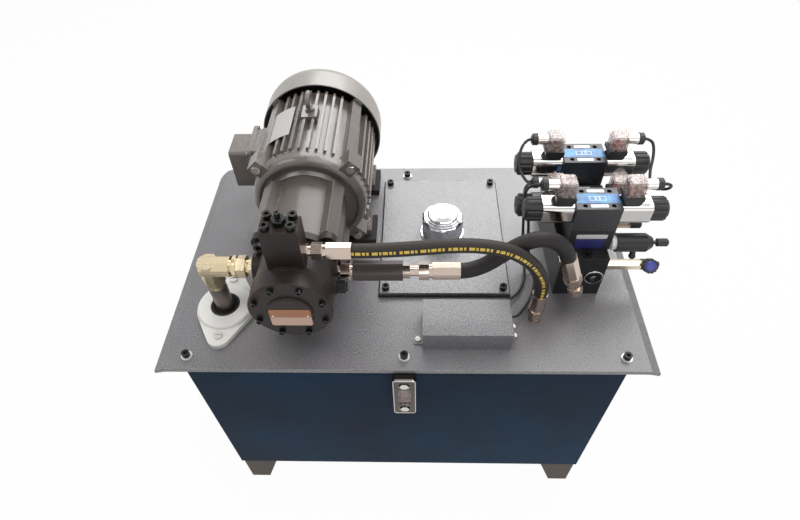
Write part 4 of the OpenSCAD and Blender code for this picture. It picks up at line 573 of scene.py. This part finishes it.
@dataclass(frozen=True)
class Seat:
    """A place on the object: a point, and the directions right and up on the face there."""

    origin: Point
    right: Point = (1.0, 0.0, 0.0)
    up: Point = (0.0, 0.0, 1.0)

    def at(self, flat: np.ndarray, height: np.ndarray) -> np.ndarray:
        """Points of the part's frame: the origin plus right, up and outward shares.

        Args:
            flat: Right and up shares, in the last axis.
            height: Outward shares, fit to broadcast over the others.

        Returns:
            The points, in the last axis.
        """
        right, up = np.asarray(self.right, float), np.asarray(self.up, float)
        out = np.cross(right, up)
        rise = np.broadcast_to(np.asarray(height, float), flat.shape[:-1])[..., None]
        return np.asarray(self.origin) + flat[..., :1] * right + flat[..., 1:] * up + rise * out


def rounded(width: float, height: float, radius: float, turn: int = 6) -> np.ndarray:
    """Outline of a rectangle with round corners: each quarter circle about the centre of its corner.

    Args:
        width: Full width.
        height: Full height.
        radius: Corner radius.
        turn: Points in each quarter.

    Returns:
        Points in order, turning left.
    """
    angle = np.linspace(0, np.pi / 2, turn) + np.arange(4)[:, None] * np.pi / 2
    centre = np.array([[1, 1], [-1, 1], [-1, -1], [1, -1]]) * [width / 2 - radius, height / 2 - radius]
    return (centre[:, None] + radius * np.stack([np.cos(angle), np.sin(angle)], -1)).reshape(-1, 2)


def slab(name: str, outline: np.ndarray, thick: float, seat: Seat, edge: float = 0.3) -> Piece:
    """Thin plate: its outline at the foot, below the softened edge, and drawn in a little on top.

    Args:
        name: The piece's name.
        outline: Outline on the seat, turning left.
        thick: Height of the top above the seat.
        seat: Where it lies.
        edge: Size of the softened edge.

    Returns:
        The plate.
    """
    drawn_in = 1 - 2 * edge / np.ptp(outline, axis=0)
    flat = np.stack([outline, outline, outline * (1 + drawn_in) / 2, outline * drawn_in])
    rise = np.array([0.0, thick - edge, thick - 0.3 * edge, thick])[:, None]
    ring = np.concatenate([flat, flat[:, :1]], 1)
    return skin(name, seat.at(flat, rise), ring, smooth=False)


def turned(name: str, profile: Pairs, seat: Seat, sides: int = 32) -> Piece:
    """Turned piece: each pair of radius and height makes a circle on the seat.

    Args:
        name: The piece's name.
        profile: Radius and height, from the foot to the top.
        seat: Its axis is the seat's outward direction.
        sides: Points in each circle.

    Returns:
        The piece.
    """
    angle = np.arange(sides) * 2 * np.pi / sides
    radius, height = np.array(profile, float).T
    flat = radius[:, None, None] * np.stack([np.cos(angle), np.sin(angle)], -1)
    return skin(name, seat.at(flat, height[:, None]))


def smooth_path(points: np.ndarray, steps: int) -> np.ndarray:
    """Curve through all the points, by the Catmull-Rom cubic of each four neighbours.

    Args:
        points: The points to pass through.
        steps: Samples between two of them.

    Returns:
        The samples, with the first and last point among them.
    """
    padded = np.concatenate([[2 * points[0] - points[1]], points, [2 * points[-1] - points[-2]]])
    a, b, c, d = padded[:-3, None], padded[1:-2, None], padded[2:-1, None], padded[3:, None]
    t = (np.arange(steps) / steps)[None, :, None]
    curve = b + 0.5 * t * (c - a + t * (2 * a - 5 * b + 4 * c - d + t * (3 * (b - c) + d - a)))
    return np.concatenate([curve.reshape(-1, 3), points[-1:]])


@dataclass(frozen=True)
class Line:
    """A hose or cable on its route: the points that it passes, and the side of it that faces out."""

    name: str
    node: str
    points: tuple[Point, ...]
    radius: float
    finish: Finish
    slot: str
    face: Point
    sides: int = 16
    steps: int = 6
    stiffness: str = "stiff"

    def build(self) -> Piece:
        """Tube along the route: a circle about each sample, across the curve there, turned to its face.

        Returns:
            The tube, which stands for its CAD node.
        """
        path = smooth_path(np.array(self.points, float), self.steps)
        ahead = np.gradient(path, axis=0)
        ahead /= np.linalg.norm(ahead, axis=1, keepdims=True)
        face = np.asarray(self.face, float)
        north = face - (ahead @ face)[:, None] * ahead
        north /= np.linalg.norm(north, axis=1, keepdims=True)
        east = np.cross(ahead, north)
        angle = np.linspace(-np.pi, np.pi, self.sides + 1)
        turn = angle[None, :-1, None]
        round_it = np.cos(turn) * north[:, None] + np.sin(turn) * east[:, None]
        steps = np.linalg.norm(np.diff(path, axis=0), axis=1)
        along = np.concatenate([[0.0], np.cumsum(steps)])
        laid = np.stack(np.broadcast_arrays(angle * self.radius, along[:, None]), -1)
        piece = skin(self.name, path[:, None] + self.radius * round_it, laid)
        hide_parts(self.node)
        2 * self.radius * MM
        return piece


Coats = dict[str, Finish]
Dressed = list[tuple[Piece, Finish, str]]


class SubAssembly:
    """A group of the object's pieces that is built and dressed together."""

    body = "unit"

    def coats(self) -> Coats:
        """The finish of each CAD node in the group."""
        return {}

    def build(self) -> Dressed:
        """New pieces of the group, each with its finish and the name of a slot."""
        return []

    def dress(self) -> None:
        """Gives every node and piece of the group its finish, and puts the pieces on their body."""
        for node, finish in self.coats().items():
            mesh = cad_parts[node].data
            mesh.materials.clear()
            mesh.materials.append(material(finish))
            log.info("%s: %s", node, finish.name)
        for piece, finish, slot in self.build():
            piece.data.materials.append(material(finish))
            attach(piece, self.body)
            log.info("%s: %s, %d faces", piece.name, finish.name, len(piece.data.polygons))


@dataclass
class Tank(SubAssembly):
    """Welded tank on its feet, with the level gauge on its front."""

    gauge_z: float = 411.0
    scale_y: float = -236.9
    scale_size: Pair = (13.0, 40.0)
    scale_t: float = 0.4
    rim_y: float = -248.0
    rim_size: Pair = (36.6, 108.6)
    rim_corner: float = 5.4
    rim_steps: Pairs = ((0.0, -4.0), (0.0, 0.3), (0.6, 0.9), (1.3, 0.9), (1.8, 0.4), (1.8, -4.0))

    def coats(self) -> Coats:
        """Blue shell, taupe feet and a bright gauge."""
        return {"tank_shell": TANK_BLUE, "tank_feet": FOOT_TAUPE, "gaskets": SEAL_BLACK,
                "port_plugs": BLACK_STEEL, "level_gauge_frame": GAUGE_CHROME,
                "level_gauge_glass": CLEAR_GLASS, "panel_screws": BRIGHT_ZINC,
                "tank_pipes": PIPE_STEEL, "strainers": MESH_STEEL}

    def build(self) -> Dressed:
        """Scale behind the gauge's window, and the bright rim round its face.

        Each loop of the rim is the face's outline, drawn in by a step's inset, at the step's height.
        """
        seat = Seat((0.0, self.scale_y, self.gauge_z))
        scale = slab("gauge_scale", rounded(*self.scale_size, 1.5), self.scale_t, seat, 0.1)
        w, h = self.rim_size
        inset, rise = np.array(self.rim_steps).T
        flat = np.stack([rounded(w - 2 * d, h - 2 * d, self.rim_corner - d) for d in inset])
        face = Seat((0.0, self.rim_y, self.gauge_z))
        rim = skin("gauge_rim", face.at(flat, rise[:, None]), smooth=False, ring=True)
        return [(scale, SCALE_PINK, "clear_plastic"), (rim, TUBE_CHROME, "bright_steel")]


@dataclass
class Lid(SubAssembly):
    """Lid plate with its clean-out cover, filler, junction box and suction flange."""

    box_side: float = 169.6
    box_screws: Pairs = ((-183.0, 495.4), (-166.0, 495.4))
    screw_head: Pairs = ((4.6, 0.0), (4.6, 5.0), (3.8, 6.6), (2.0, 7.4), (0.3, 7.6))

    def coats(self) -> Coats:
        """Speckled grey plates, a chrome filler and a white flange."""
        return {"lid": LID_GREY, "cleanout_cover": PANEL_GREY, "junction_box": BOX_GREY,
                "lid_screws": LID_SCREW, "filler_neck": CHROME, "suction_flange": FLANGE_WHITE,
                "suction_elbow": YELLOW_ZINC}

    def build(self) -> Dressed:
        """Domed heads of the two screws in the junction box's right wall."""
        made = []
        for number, spot in enumerate(self.box_screws):
            seat = Seat((self.box_side, *spot), BACKWARD)
            dome = turned(f"junction_screw_dome_{number}", self.screw_head, seat, 24)
            made.append((dome, BRIGHT_ZINC, "bright_steel"))
        return made


@dataclass
class Breather(SubAssembly):
    """Filler cap that lifts off its neck."""

    body = "breather"
    flats: int = 10
    flat_r: float = 36.0
    bore_r: float = 29.5
    bore_h: float = 28.0
    crown_h: float = 11.5
    rings: int = 3
    ring_in: float = 3.2
    ring_up: float = 3.0
    sides: int = 120

    def build(self) -> Dressed:
        """Hollow cap with flats round its skirt and rings up to its broad top.

        Each loop has a radius, a height and a share of the flats. A flat's radius is that of its middle
        over the cosine of the angle from there. The loop's mixes that with the circle's by the share.
        """
        low, high = (np.array(corner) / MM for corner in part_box("breather_cap"))
        top = high[2] - low[2]
        skirt = top - self.crown_h
        bead_r = self.flat_r + 1
        steps = [(self.flat_r - 2.2 - self.ring_in * i - 0.5 * j,
                  skirt + 0.8 + self.ring_up * i + 2.6 * j, 0) for i in range(self.rings) for j in (0, 1)]
        rows = [(0.4, self.bore_h, 0), (self.bore_r, self.bore_h, 0), (self.bore_r, 0, 0),
                (bead_r, 0, 0), (bead_r, 3.6, 0), (self.flat_r, 4.4, 1), (self.flat_r, skirt - 1.5, 1),
                (self.flat_r - 1.2, skirt, 0.7), *steps,
                (24.5, top - 0.9, 0), (14, top, 0), (0.4, top, 0)]
        radius, height, share = np.array(rows, float).T[:, :, None]
        angle = np.arange(self.sides) * 2 * np.pi / self.sides
        half = np.pi / self.flats
        flat = 1 / np.cos((angle + half) % (2 * half) - half)
        loop_r = radius * (1 - share + share * flat)
        loops = np.stack([loop_r * np.cos(angle), loop_r * np.sin(angle)], -1)
        seat = Seat((*(low[:2] + high[:2]) / 2, low[2]), up=BACKWARD)
        cap = skin("breather_shell", seat.at(loops, height), smooth=False)
        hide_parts("breather_cap")
        return [(cap, CAP_CHROME, "chrome")]


@dataclass
class Motor(SubAssembly):
    """Finned motor with its fan cover and terminal box, and a bare plate over its fins."""

    fin_r: float = 101.0
    plate_angles: Pair = (106.0, 129.0)
    plate_sections: int = 15
    plate_ys: Pair = (74.0, 152.0)
    plate_rs: Pair = (0.1, 1.0)

    def coats(self) -> Coats:
        """Warm grey enamel, with a paler fan cover."""
        grey = ("motor_frame", "motor_front_shield", "motor_rear_shield", "terminal_box",
                "terminal_box_cover", "lifting_eye")
        return {**dict.fromkeys(grey, MOTOR_GREY), "fan_cover": FAN_GREY, "stator": WINDING,
                "motor_bearings": GROUND_STEEL, "motor_rotor": GROUND_STEEL, "cooling_fan": FAN_PLASTIC,
                "drive_bolts": BRIGHT_ZINC, "mount_pads": PAD_RUBBER}

    def build(self) -> Dressed:
        """Bare plate bent over the fin tips.

        The loops are sections at steps round the motor: a flat rectangle from the fins outwards.
        """
        angle = np.radians(np.linspace(*self.plate_angles, self.plate_sections))[::-1, None]
        radius = self.fin_r + np.repeat(self.plate_rs, 2)
        y = np.array(self.plate_ys)[[0, 1, 1, 0]]
        x, z = DRIVE_AXIS[0] + radius * np.cos(angle), DRIVE_AXIS[1] + radius * np.sin(angle)
        loops = np.stack(np.broadcast_arrays(x, y, z), -1)
        return [(skin("motor_plate", loops, smooth=False), SILVER_PLATE, "bright_steel")]


@dataclass
class Pump(SubAssembly):
    """Vane pump on its bell housing, with a bare copper plate on its cover."""

    face_y: float = -212.0
    plate_size: Pair = (60.0, 38.0)
    plate_low: float = -9.0
    plate_t: float = 0.8
    rivet: Pairs = ((1.9, 0.0), (1.8, 0.5), (1.2, 1.0), (0.3, 1.2))
    rivet_in: float = 5.0
    rivet_up: float = 4.0

    def coats(self) -> Coats:
        """Brown-black castings on a grey bell housing."""
        return {"pump_bracket": BELL_GREY, "pump_body": PUMP_BROWN, "pump_cover": PUMP_BROWN,
                "pressure_control": PUMP_BROWN, "socket_screws": BLACK_STEEL,
                "shaft_coupling": GROUND_STEEL, "pump_rotor": GROUND_STEEL,
                "pressure_adjuster": BLACK_STEEL, "volume_screw": BLACK_STEEL,
                "check_valve": CHECK_BROWN, "check_poppet": GROUND_STEEL}

    def build(self) -> Dressed:
        """Plate with round corners, and two rivets."""
        x, y, z = DRIVE_AXIS[0], self.face_y + SUNK, DRIVE_AXIS[1] + self.plate_low
        plate = slab("pump_plate", rounded(*self.plate_size, 4.0), self.plate_t, Seat((x, y, z)), 0.25)
        made = [(plate, COPPER_PLATE, "brass")]
        aside = self.plate_size[0] / 2 - self.rivet_in
        for side in (-1, 1):
            seat = Seat((x + side * aside, y - self.plate_t + SUNK, z + self.rivet_up))
            rivet = turned(f"pump_plate_rivet_{side + 2}", self.rivet, seat, 16)
            made.append((rivet, BRIGHT_ZINC, "bright_steel"))
        return made


@dataclass
class Hoses(SubAssembly):
    """Pressure hose to the valve block, drain hose to the lid, and their fittings."""

    pressure_r: float = 12.0
    drain_r: float = 10.4

    def coats(self) -> Coats:
        """Bright plated fittings."""
        return {"hose_fittings": FITTING_ZINC}

    def build(self) -> Dressed:
        """Both hoses along their routes, the drain hose with a dashed lay line."""
        pressure = Line("pressure_hose_run", "pressure_hose", (
            (85, -132, 592), (90, -132, 592), (100, -131, 593), (114, -129, 597), (128, -127, 605),
            (141, -126, 617), (154, -125, 629), (170, -123, 640), (188, -121, 647), (206, -119, 647),
            (222, -118, 639), (234, -117, 627), (242.4, -117, 612.9), (245.0, -117, 605.3)),
            self.pressure_r, HOSE_RUBBER, "hose_rubber", (0.0, -1.0, 0.0), 28)
        drain = Line("drain_hose_run", "drain_hose", (
            (-69.5, -159, 667), (-46, -159, 667), (-24, -158, 667), (4, -157, 668), (34, -155, 669),
            (66, -153, 670), (98, -151, 668), (126, -150, 663), (150, -149, 654), (170, -148, 640),
            (187, -146, 621), (200, -143, 598), (208, -140, 577), (211, -139, 558), (211, -139, 545)),
            self.drain_r, PRINTED_HOSE, "hose_rubber", (0.0, -0.94, 0.34), 28)
        return [(line.build(), line.finish, line.slot) for line in (pressure, drain)]


@dataclass
class Cables(SubAssembly):
    """Sheathed cables from the connectors to the junction box and from connector to connector."""

    radius: float = 2.3
    left_x: float = 202.2
    right_x: float = 380.8
    middle_y: float = 10.0
    beside: float = 2.6
    face: Point = (0.6, 0.6, 0.53)

    def build(self) -> Dressed:
        """The five cables along their routes. Two of them share each gland of the middle valve."""
        left, right = self.left_x, self.right_x
        near, far = self.middle_y - self.beside, self.middle_y + self.beside
        routes = {
            "front_cable": (
                (left, -44, 684), (197, -43, 683), (191, -38, 676), (188, -29, 662), (188, -21, 642),
                (191, -17, 614), (195, -16, 578), (199, -18, 542), (203, -23, 512), (206, -34, 492),
                (206, -48, 486), (203, -64, 485), (192, -88, 485), (177, -104, 487), (164, -114, 489),
                (158, -122, 490), (157.5, -131.7, 490)),
            "middle_cable": (
                (left, near, 641), (197, 6, 641), (192, 1, 636), (192, -8, 624), (197, -14, 604),
                (203, -16, 580), (207, -18, 550), (211, -22, 520), (217, -30, 496), (222, -42, 487),
                (222, -62, 485), (215, -88, 485), (206, -108, 485), (196, -124, 487), (186, -138, 489),
                (178, -144, 490), (167.8, -144, 490)),
            "left_jumper": (
                (left, 64, 684), (197, 63, 683), (190, 58, 678), (185, 49, 670), (183, 38, 659),
                (186, 27, 649), (195, 13, 641), (left, far, 641)),
            "front_jumper": (
                (right, -44, 684), (387, -43, 683), (394, -41, 678), (397, -34, 667), (396, -23, 655),
                (392, -10, 646), (388, 7, 641), (right, near, 641)),
            "rear_jumper": (
                (right, 64, 684), (387, 63, 683), (394, 60, 679), (397, 53, 669), (396, 43, 658),
                (392, 30, 648), (388, 13, 641), (right, far, 641)),
        }
        lines = [Line(name, "solenoid_cables", points, self.radius, CABLE_SHEATH, "cable_black",
                      self.face, 10, 4, "medium") for name, points in routes.items()]
        return [(line.build(), line.finish, line.slot) for line in lines]


@dataclass
class ValveStack(SubAssembly):
    """Valve block with three solenoid valves, two of them on sandwich plates."""

    stack_x: float = 291.5
    stations: Pairs = ((-44.0, 611.0), (10.0, 568.0), (64.0, 611.0))
    valve_h: float = 45.0
    label_size: Pair = (66.0, 21.0)
    label_t: float = 0.35
    strip_size: Pair = (26.0, 6.5)
    strip_t: float = 0.3
    strip_y: float = 16.5
    sandwich_half: float = 24.0
    sandwich_plates_t: float = 0.6
    plug: Point = (307.0, -89.0, LID + 44.0)
    plug_ring: Pairs = ((15.0, 0.0), (15.0, 1.2), (14.2, 2.0), (12.7, 1.0), (12.7, 0.3))
    connector_x: float = 50.0
    connector_z: float = 57.1
    carrier_w: float = 17.0
    carrier_h: float = 11.0
    carrier_screw: Pairs = ((3.4, 11.0), (3.4, 17.5), (2.6, 18.6), (0.4, 18.8))

    def coats(self) -> Coats:
        """Black valves, chrome solenoids and glands, clear caps and brass cartridges."""
        plastic = ("coil_nuts", "connector_bases", "front_adjuster_knob", "rear_adjuster_knob")
        spools = ("front_spool", "middle_spool", "rear_spool")
        return {**dict.fromkeys(plastic, BLACK_PLASTIC), **dict.fromkeys(spools, GROUND_STEEL),
                "manifold_block": BLOCK_BLACK, "sandwich_valves": ADJUSTER_BLACK,
                "valve_bodies": VALVE_BLACK, "solenoid_tubes": TUBE_CHROME, "connector_caps": CLEAR_CAP,
                "cable_glands": GLAND_NICKEL, "brass_cartridges": BRASS}

    def labels(self) -> Dressed:
        """Blue label and two white strips on each valve, and two plates on the front sandwich plate."""
        made = []
        large, small = rounded(*self.label_size, 1.0), rounded(*self.strip_size, 1.0)
        for number, (y, z) in enumerate(self.stations):
            top = z + self.valve_h - SUNK
            seat = Seat((self.stack_x, y, top), up=BACKWARD)
            label = slab(f"valve_label_{number}", large, self.label_t, seat, 0.1)
            made.append((label, LABEL_BLUE, "fan_plastic"))
            for side in (-1, 1):
                seat = Seat((self.stack_x, y + side * self.strip_y, top), up=BACKWARD)
                strip = slab(f"valve_strip_{number}_{side + 2}", small, self.strip_t, seat, 0.1)
                made.append((strip, LABEL_WHITE, "flange_white"))
        front = self.stations[0][0] - self.sandwich_half + SUNK
        thick = self.sandwich_plates_t
        white_at, navy_at = Seat((292.0, front, LID + 117.5)), Seat((291.0, front, LID + 101.0))
        white = slab("sandwich_strip", rounded(48.0, 8.5, 2.0), thick, white_at, 0.2)
        navy = slab("sandwich_plate", rounded(46.0, 21.0, 1.0), thick, navy_at, 0.2)
        return [*made, (white, LABEL_WHITE, "bright_steel"), (navy, LABEL_NAVY, "fan_plastic")]

    def build(self) -> Dressed:
        """Labels, the front plug's ring, and a carrier with its screw in each clear cap."""
        made = self.labels()
        ring = turned("block_plug_ring", self.plug_ring, Seat(self.plug))
        made.append((ring, BRIGHT_ZINC, "bright_steel"))
        outline = rounded(self.carrier_w, self.carrier_w, 3.0)
        for number, (y, z) in enumerate(self.stations):
            for side, finish in ((-1, BLACK_PLASTIC), (1, LAMP_RED)):
                x = self.stack_x + side * self.connector_x
                seat = Seat((x, y, z + self.connector_z), up=BACKWARD)
                tag = f"{number}_{side + 2}"
                carrier = slab(f"carrier_{tag}", outline, self.carrier_h, seat, 1.5)
                made.append((carrier, finish, "black_plastic"))
                screw = turned(f"carrier_screw_{tag}", self.carrier_screw, seat, 20)
                made.append((screw, BRIGHT_ZINC, "bright_steel"))
        return made


@dataclass
class GaugeKnob(SubAssembly):
    """Shut-off knob with a blue face."""

    body = "gauge_handle"
    pivot: Point = (391.0, -75.0, 540.0)
    out: Point = (0.0, -0.788011, 0.615661)
    reach: float = 18.2
    radius: float = 8.8

    def coats(self) -> Coats:
        """Black plastic rim."""
        return {"gauge_knob": BLACK_PLASTIC}

    def build(self) -> Dressed:
        """Slightly domed blue disc on the knob's face."""
        out = np.asarray(self.out)
        up = np.cross(out, (1.0, 0.0, 0.0))
        seat = Seat(tuple(np.asarray(self.pivot) + self.reach * out), up=tuple(up))
        r = self.radius
        disc = turned("gauge_knob_face", ((r, 0), (r - 0.2, 0.4), (r * 0.6, 0.7), (r * 0.2, 0.8)), seat)
        return [(disc, KNOB_BLUE, "fan_plastic")]


def place(name: str, data: bpy.types.ID, right: np.ndarray, up: np.ndarray, back: np.ndarray,
          at: Point) -> Piece:
    """A camera or lamp in the scene, with its axes and its place as the columns of its matrix.

    Args:
        name: The object's name.
        data: The camera or lamp.
        right: Its x axis.
        up: Its y axis.
        back: Its z axis, away from what it faces.
        at: Its place in millimetres.

    Returns:
        The object.
    """
    columns = np.eye(4)
    columns[:3] = np.stack([right, up, back, np.asarray(at) * MM], 1)
    made = bpy.data.objects.new(name, data)
    made.matrix_world = Matrix(columns.tolist())
    bpy.context.scene.collection.objects.link(made)
    return made


@dataclass(frozen=True)
class Lamp:
    """A soft rectangular lamp at a place, facing a point."""

    name: str
    at: Point
    aim: Point
    size: Pair
    watts: float

    def build(self) -> None:
        """Area lamp with its back turned from the aim, and its width square to the frame's Y axis."""
        data = bpy.data.lights.new(self.name, "AREA")
        data.shape = "RECTANGLE"
        data.size, data.size_y = self.size[0] * MM, self.size[1] * MM
        data.energy = self.watts
        back = np.asarray(self.at) - np.asarray(self.aim)
        back = back / np.linalg.norm(back)
        right = np.cross(BACKWARD, back)
        right /= np.linalg.norm(right)
        place(self.name, data, right, np.cross(back, right), back, self.at)


LAMPS = (
    Lamp("back_softbox", (330, 1730, 1950), (60, 100, 480), (2200, 900), 34.0),
    Lamp("top_softbox", (500, -300, 2500), (0, 0, 450), (1500, 1500), 20.0),
    Lamp("right_softbox", (880, 770, 2050), (280, -180, 480), (900, 700), 8.0),
    Lamp("left_softbox", (-1200, -350, 1900), (-220, 0, 560), (800, 800), 7.0),
    Lamp("front_fill", (900, -1800, 900), (0, 0, 400), (1200, 1200), 4.0),
)


@dataclass
class Studio:
    """Camera at the photograph's place, soft lamps, and a white floor that keeps the shadow."""

    eye: Point = (21.35, -670.58, 1238.98)
    yaw: float = -2.78
    pitch: float = 49.11
    roll: float = -2.11
    focal: float = 560.04
    image_w: float = 800.0
    sensor: float = 36.0
    clip_start: float = 0.01
    overhead: RGB = (120, 120, 124)
    plain_light: float = 0.22
    floor_half: float = 9000.0
    floor_white: RGB = (246, 246, 246)
    floor_glow: float = 0.97

    def camera(self) -> None:
        """Camera turned by yaw, pitch and roll: forward first, then right and up about it."""
        yaw, pitch, roll = np.radians([self.yaw, self.pitch, self.roll])
        forward = np.array([np.sin(yaw) * np.cos(pitch), np.cos(yaw) * np.cos(pitch), -np.sin(pitch)])
        level = np.array([np.cos(yaw), -np.sin(yaw), 0.0])
        lift = np.cross(level, forward)
        right = np.cos(roll) * level + np.sin(roll) * lift
        up = np.cos(roll) * lift - np.sin(roll) * level
        data = bpy.data.cameras.new("camera")
        data.sensor_width = self.sensor
        data.lens = self.focal / self.image_w * self.sensor
        data.clip_start = self.clip_start
        bpy.context.scene.camera = place("camera", data, right, up, -forward, self.eye)

    def seen(self, graph: Graph) -> Sock:
        """One for rays from the camera and for those that metal and glass send on."""
        rays = [graph.node("ShaderNodeLightPath", output=f"Is {kind} Ray")
                for kind in ("Camera", "Glossy", "Transmission")]
        return rays[0].largest(rays[1]).largest(rays[2])

    def world(self) -> None:
        """White surroundings, darker overhead where metal mirrors them, and a plain level of light."""
        made = bpy.data.worlds.new("studio")
        graph = Graph(made)
        height = graph.node("ShaderNodeTexCoord", output="Generated").parts()[2]
        mirrored = graph.node("ShaderNodeLightPath", output="Is Glossy Ray") * height.between(0.82, 0.98)
        shown = graph.node("ShaderNodeBackground", inputs={
            "Color": graph.mix(mirrored, (1.0, 1.0, 1.0, 1.0), linear(self.overhead)), "Strength": 1.0})
        light = graph.node("ShaderNodeBackground", inputs={
            "Color": (1.0, 0.99, 0.98, 1.0), "Strength": self.plain_light})
        both = graph.node("ShaderNodeMixShader", inputs={0: self.seen(graph), 1: light, 2: shown})
        graph.close("ShaderNodeOutputWorld", both)
        bpy.context.scene.world = made

    def floor(self) -> None:
        """Flat floor on a square grid, mostly its own white, so that the shadow on it stays pale."""
        line = np.linspace(-self.floor_half, self.floor_half, 3)
        flat = np.stack(np.meshgrid(line, line), -1).reshape(-1, 2)
        corner = np.array([0, 1, 3, 4])[:, None]
        faces = np.concatenate([corner, corner + 1, corner + 4, corner + 3], 1)
        mesh = bpy.data.meshes.new("floor")
        mesh.from_pydata((np.pad(flat, ((0, 0), (0, 1))) * MM).tolist(), [], faces.tolist())
        made_of = bpy.data.materials.new("white_floor")
        graph = Graph(made_of)
        soft = graph.node("ShaderNodeBsdfDiffuse", inputs={"Color": linear(self.floor_white)})
        glow = graph.node("ShaderNodeEmission", inputs={"Color": (1.0, 1.0, 1.0, 1.0), "Strength": 1.0})
        share = self.seen(graph) * self.floor_glow
        both = graph.node("ShaderNodeMixShader", inputs={0: share, 1: soft, 2: glow})
        graph.close("ShaderNodeOutputMaterial", both)
        mesh.materials.append(made_of)
        made = bpy.data.objects.new("floor", mesh)
        bpy.context.scene.collection.objects.link(made)

    def build(self) -> None:
        """Camera, lamps, surroundings and floor."""
        bpy.context.scene.view_settings.view_transform = "Standard"
        self.camera()
        for lamp in LAMPS:
            lamp.build()
        self.world()
        self.floor()


def main() -> None:
    """Sets up the studio and dresses each sub-assembly in order."""
    logging.basicConfig(level=logging.INFO, format="%(message)s")
    Studio().build()
    groups: tuple[SubAssembly, ...] = (Hoses(), Cables(), Tank(), Lid(), Breather(), Motor(), Pump(),
                                       ValveStack(), GaugeKnob())
    for group in groups:
        log.info("%s", type(group).__name__)
        group.dress()


if __name__ == "__main__":
    main()
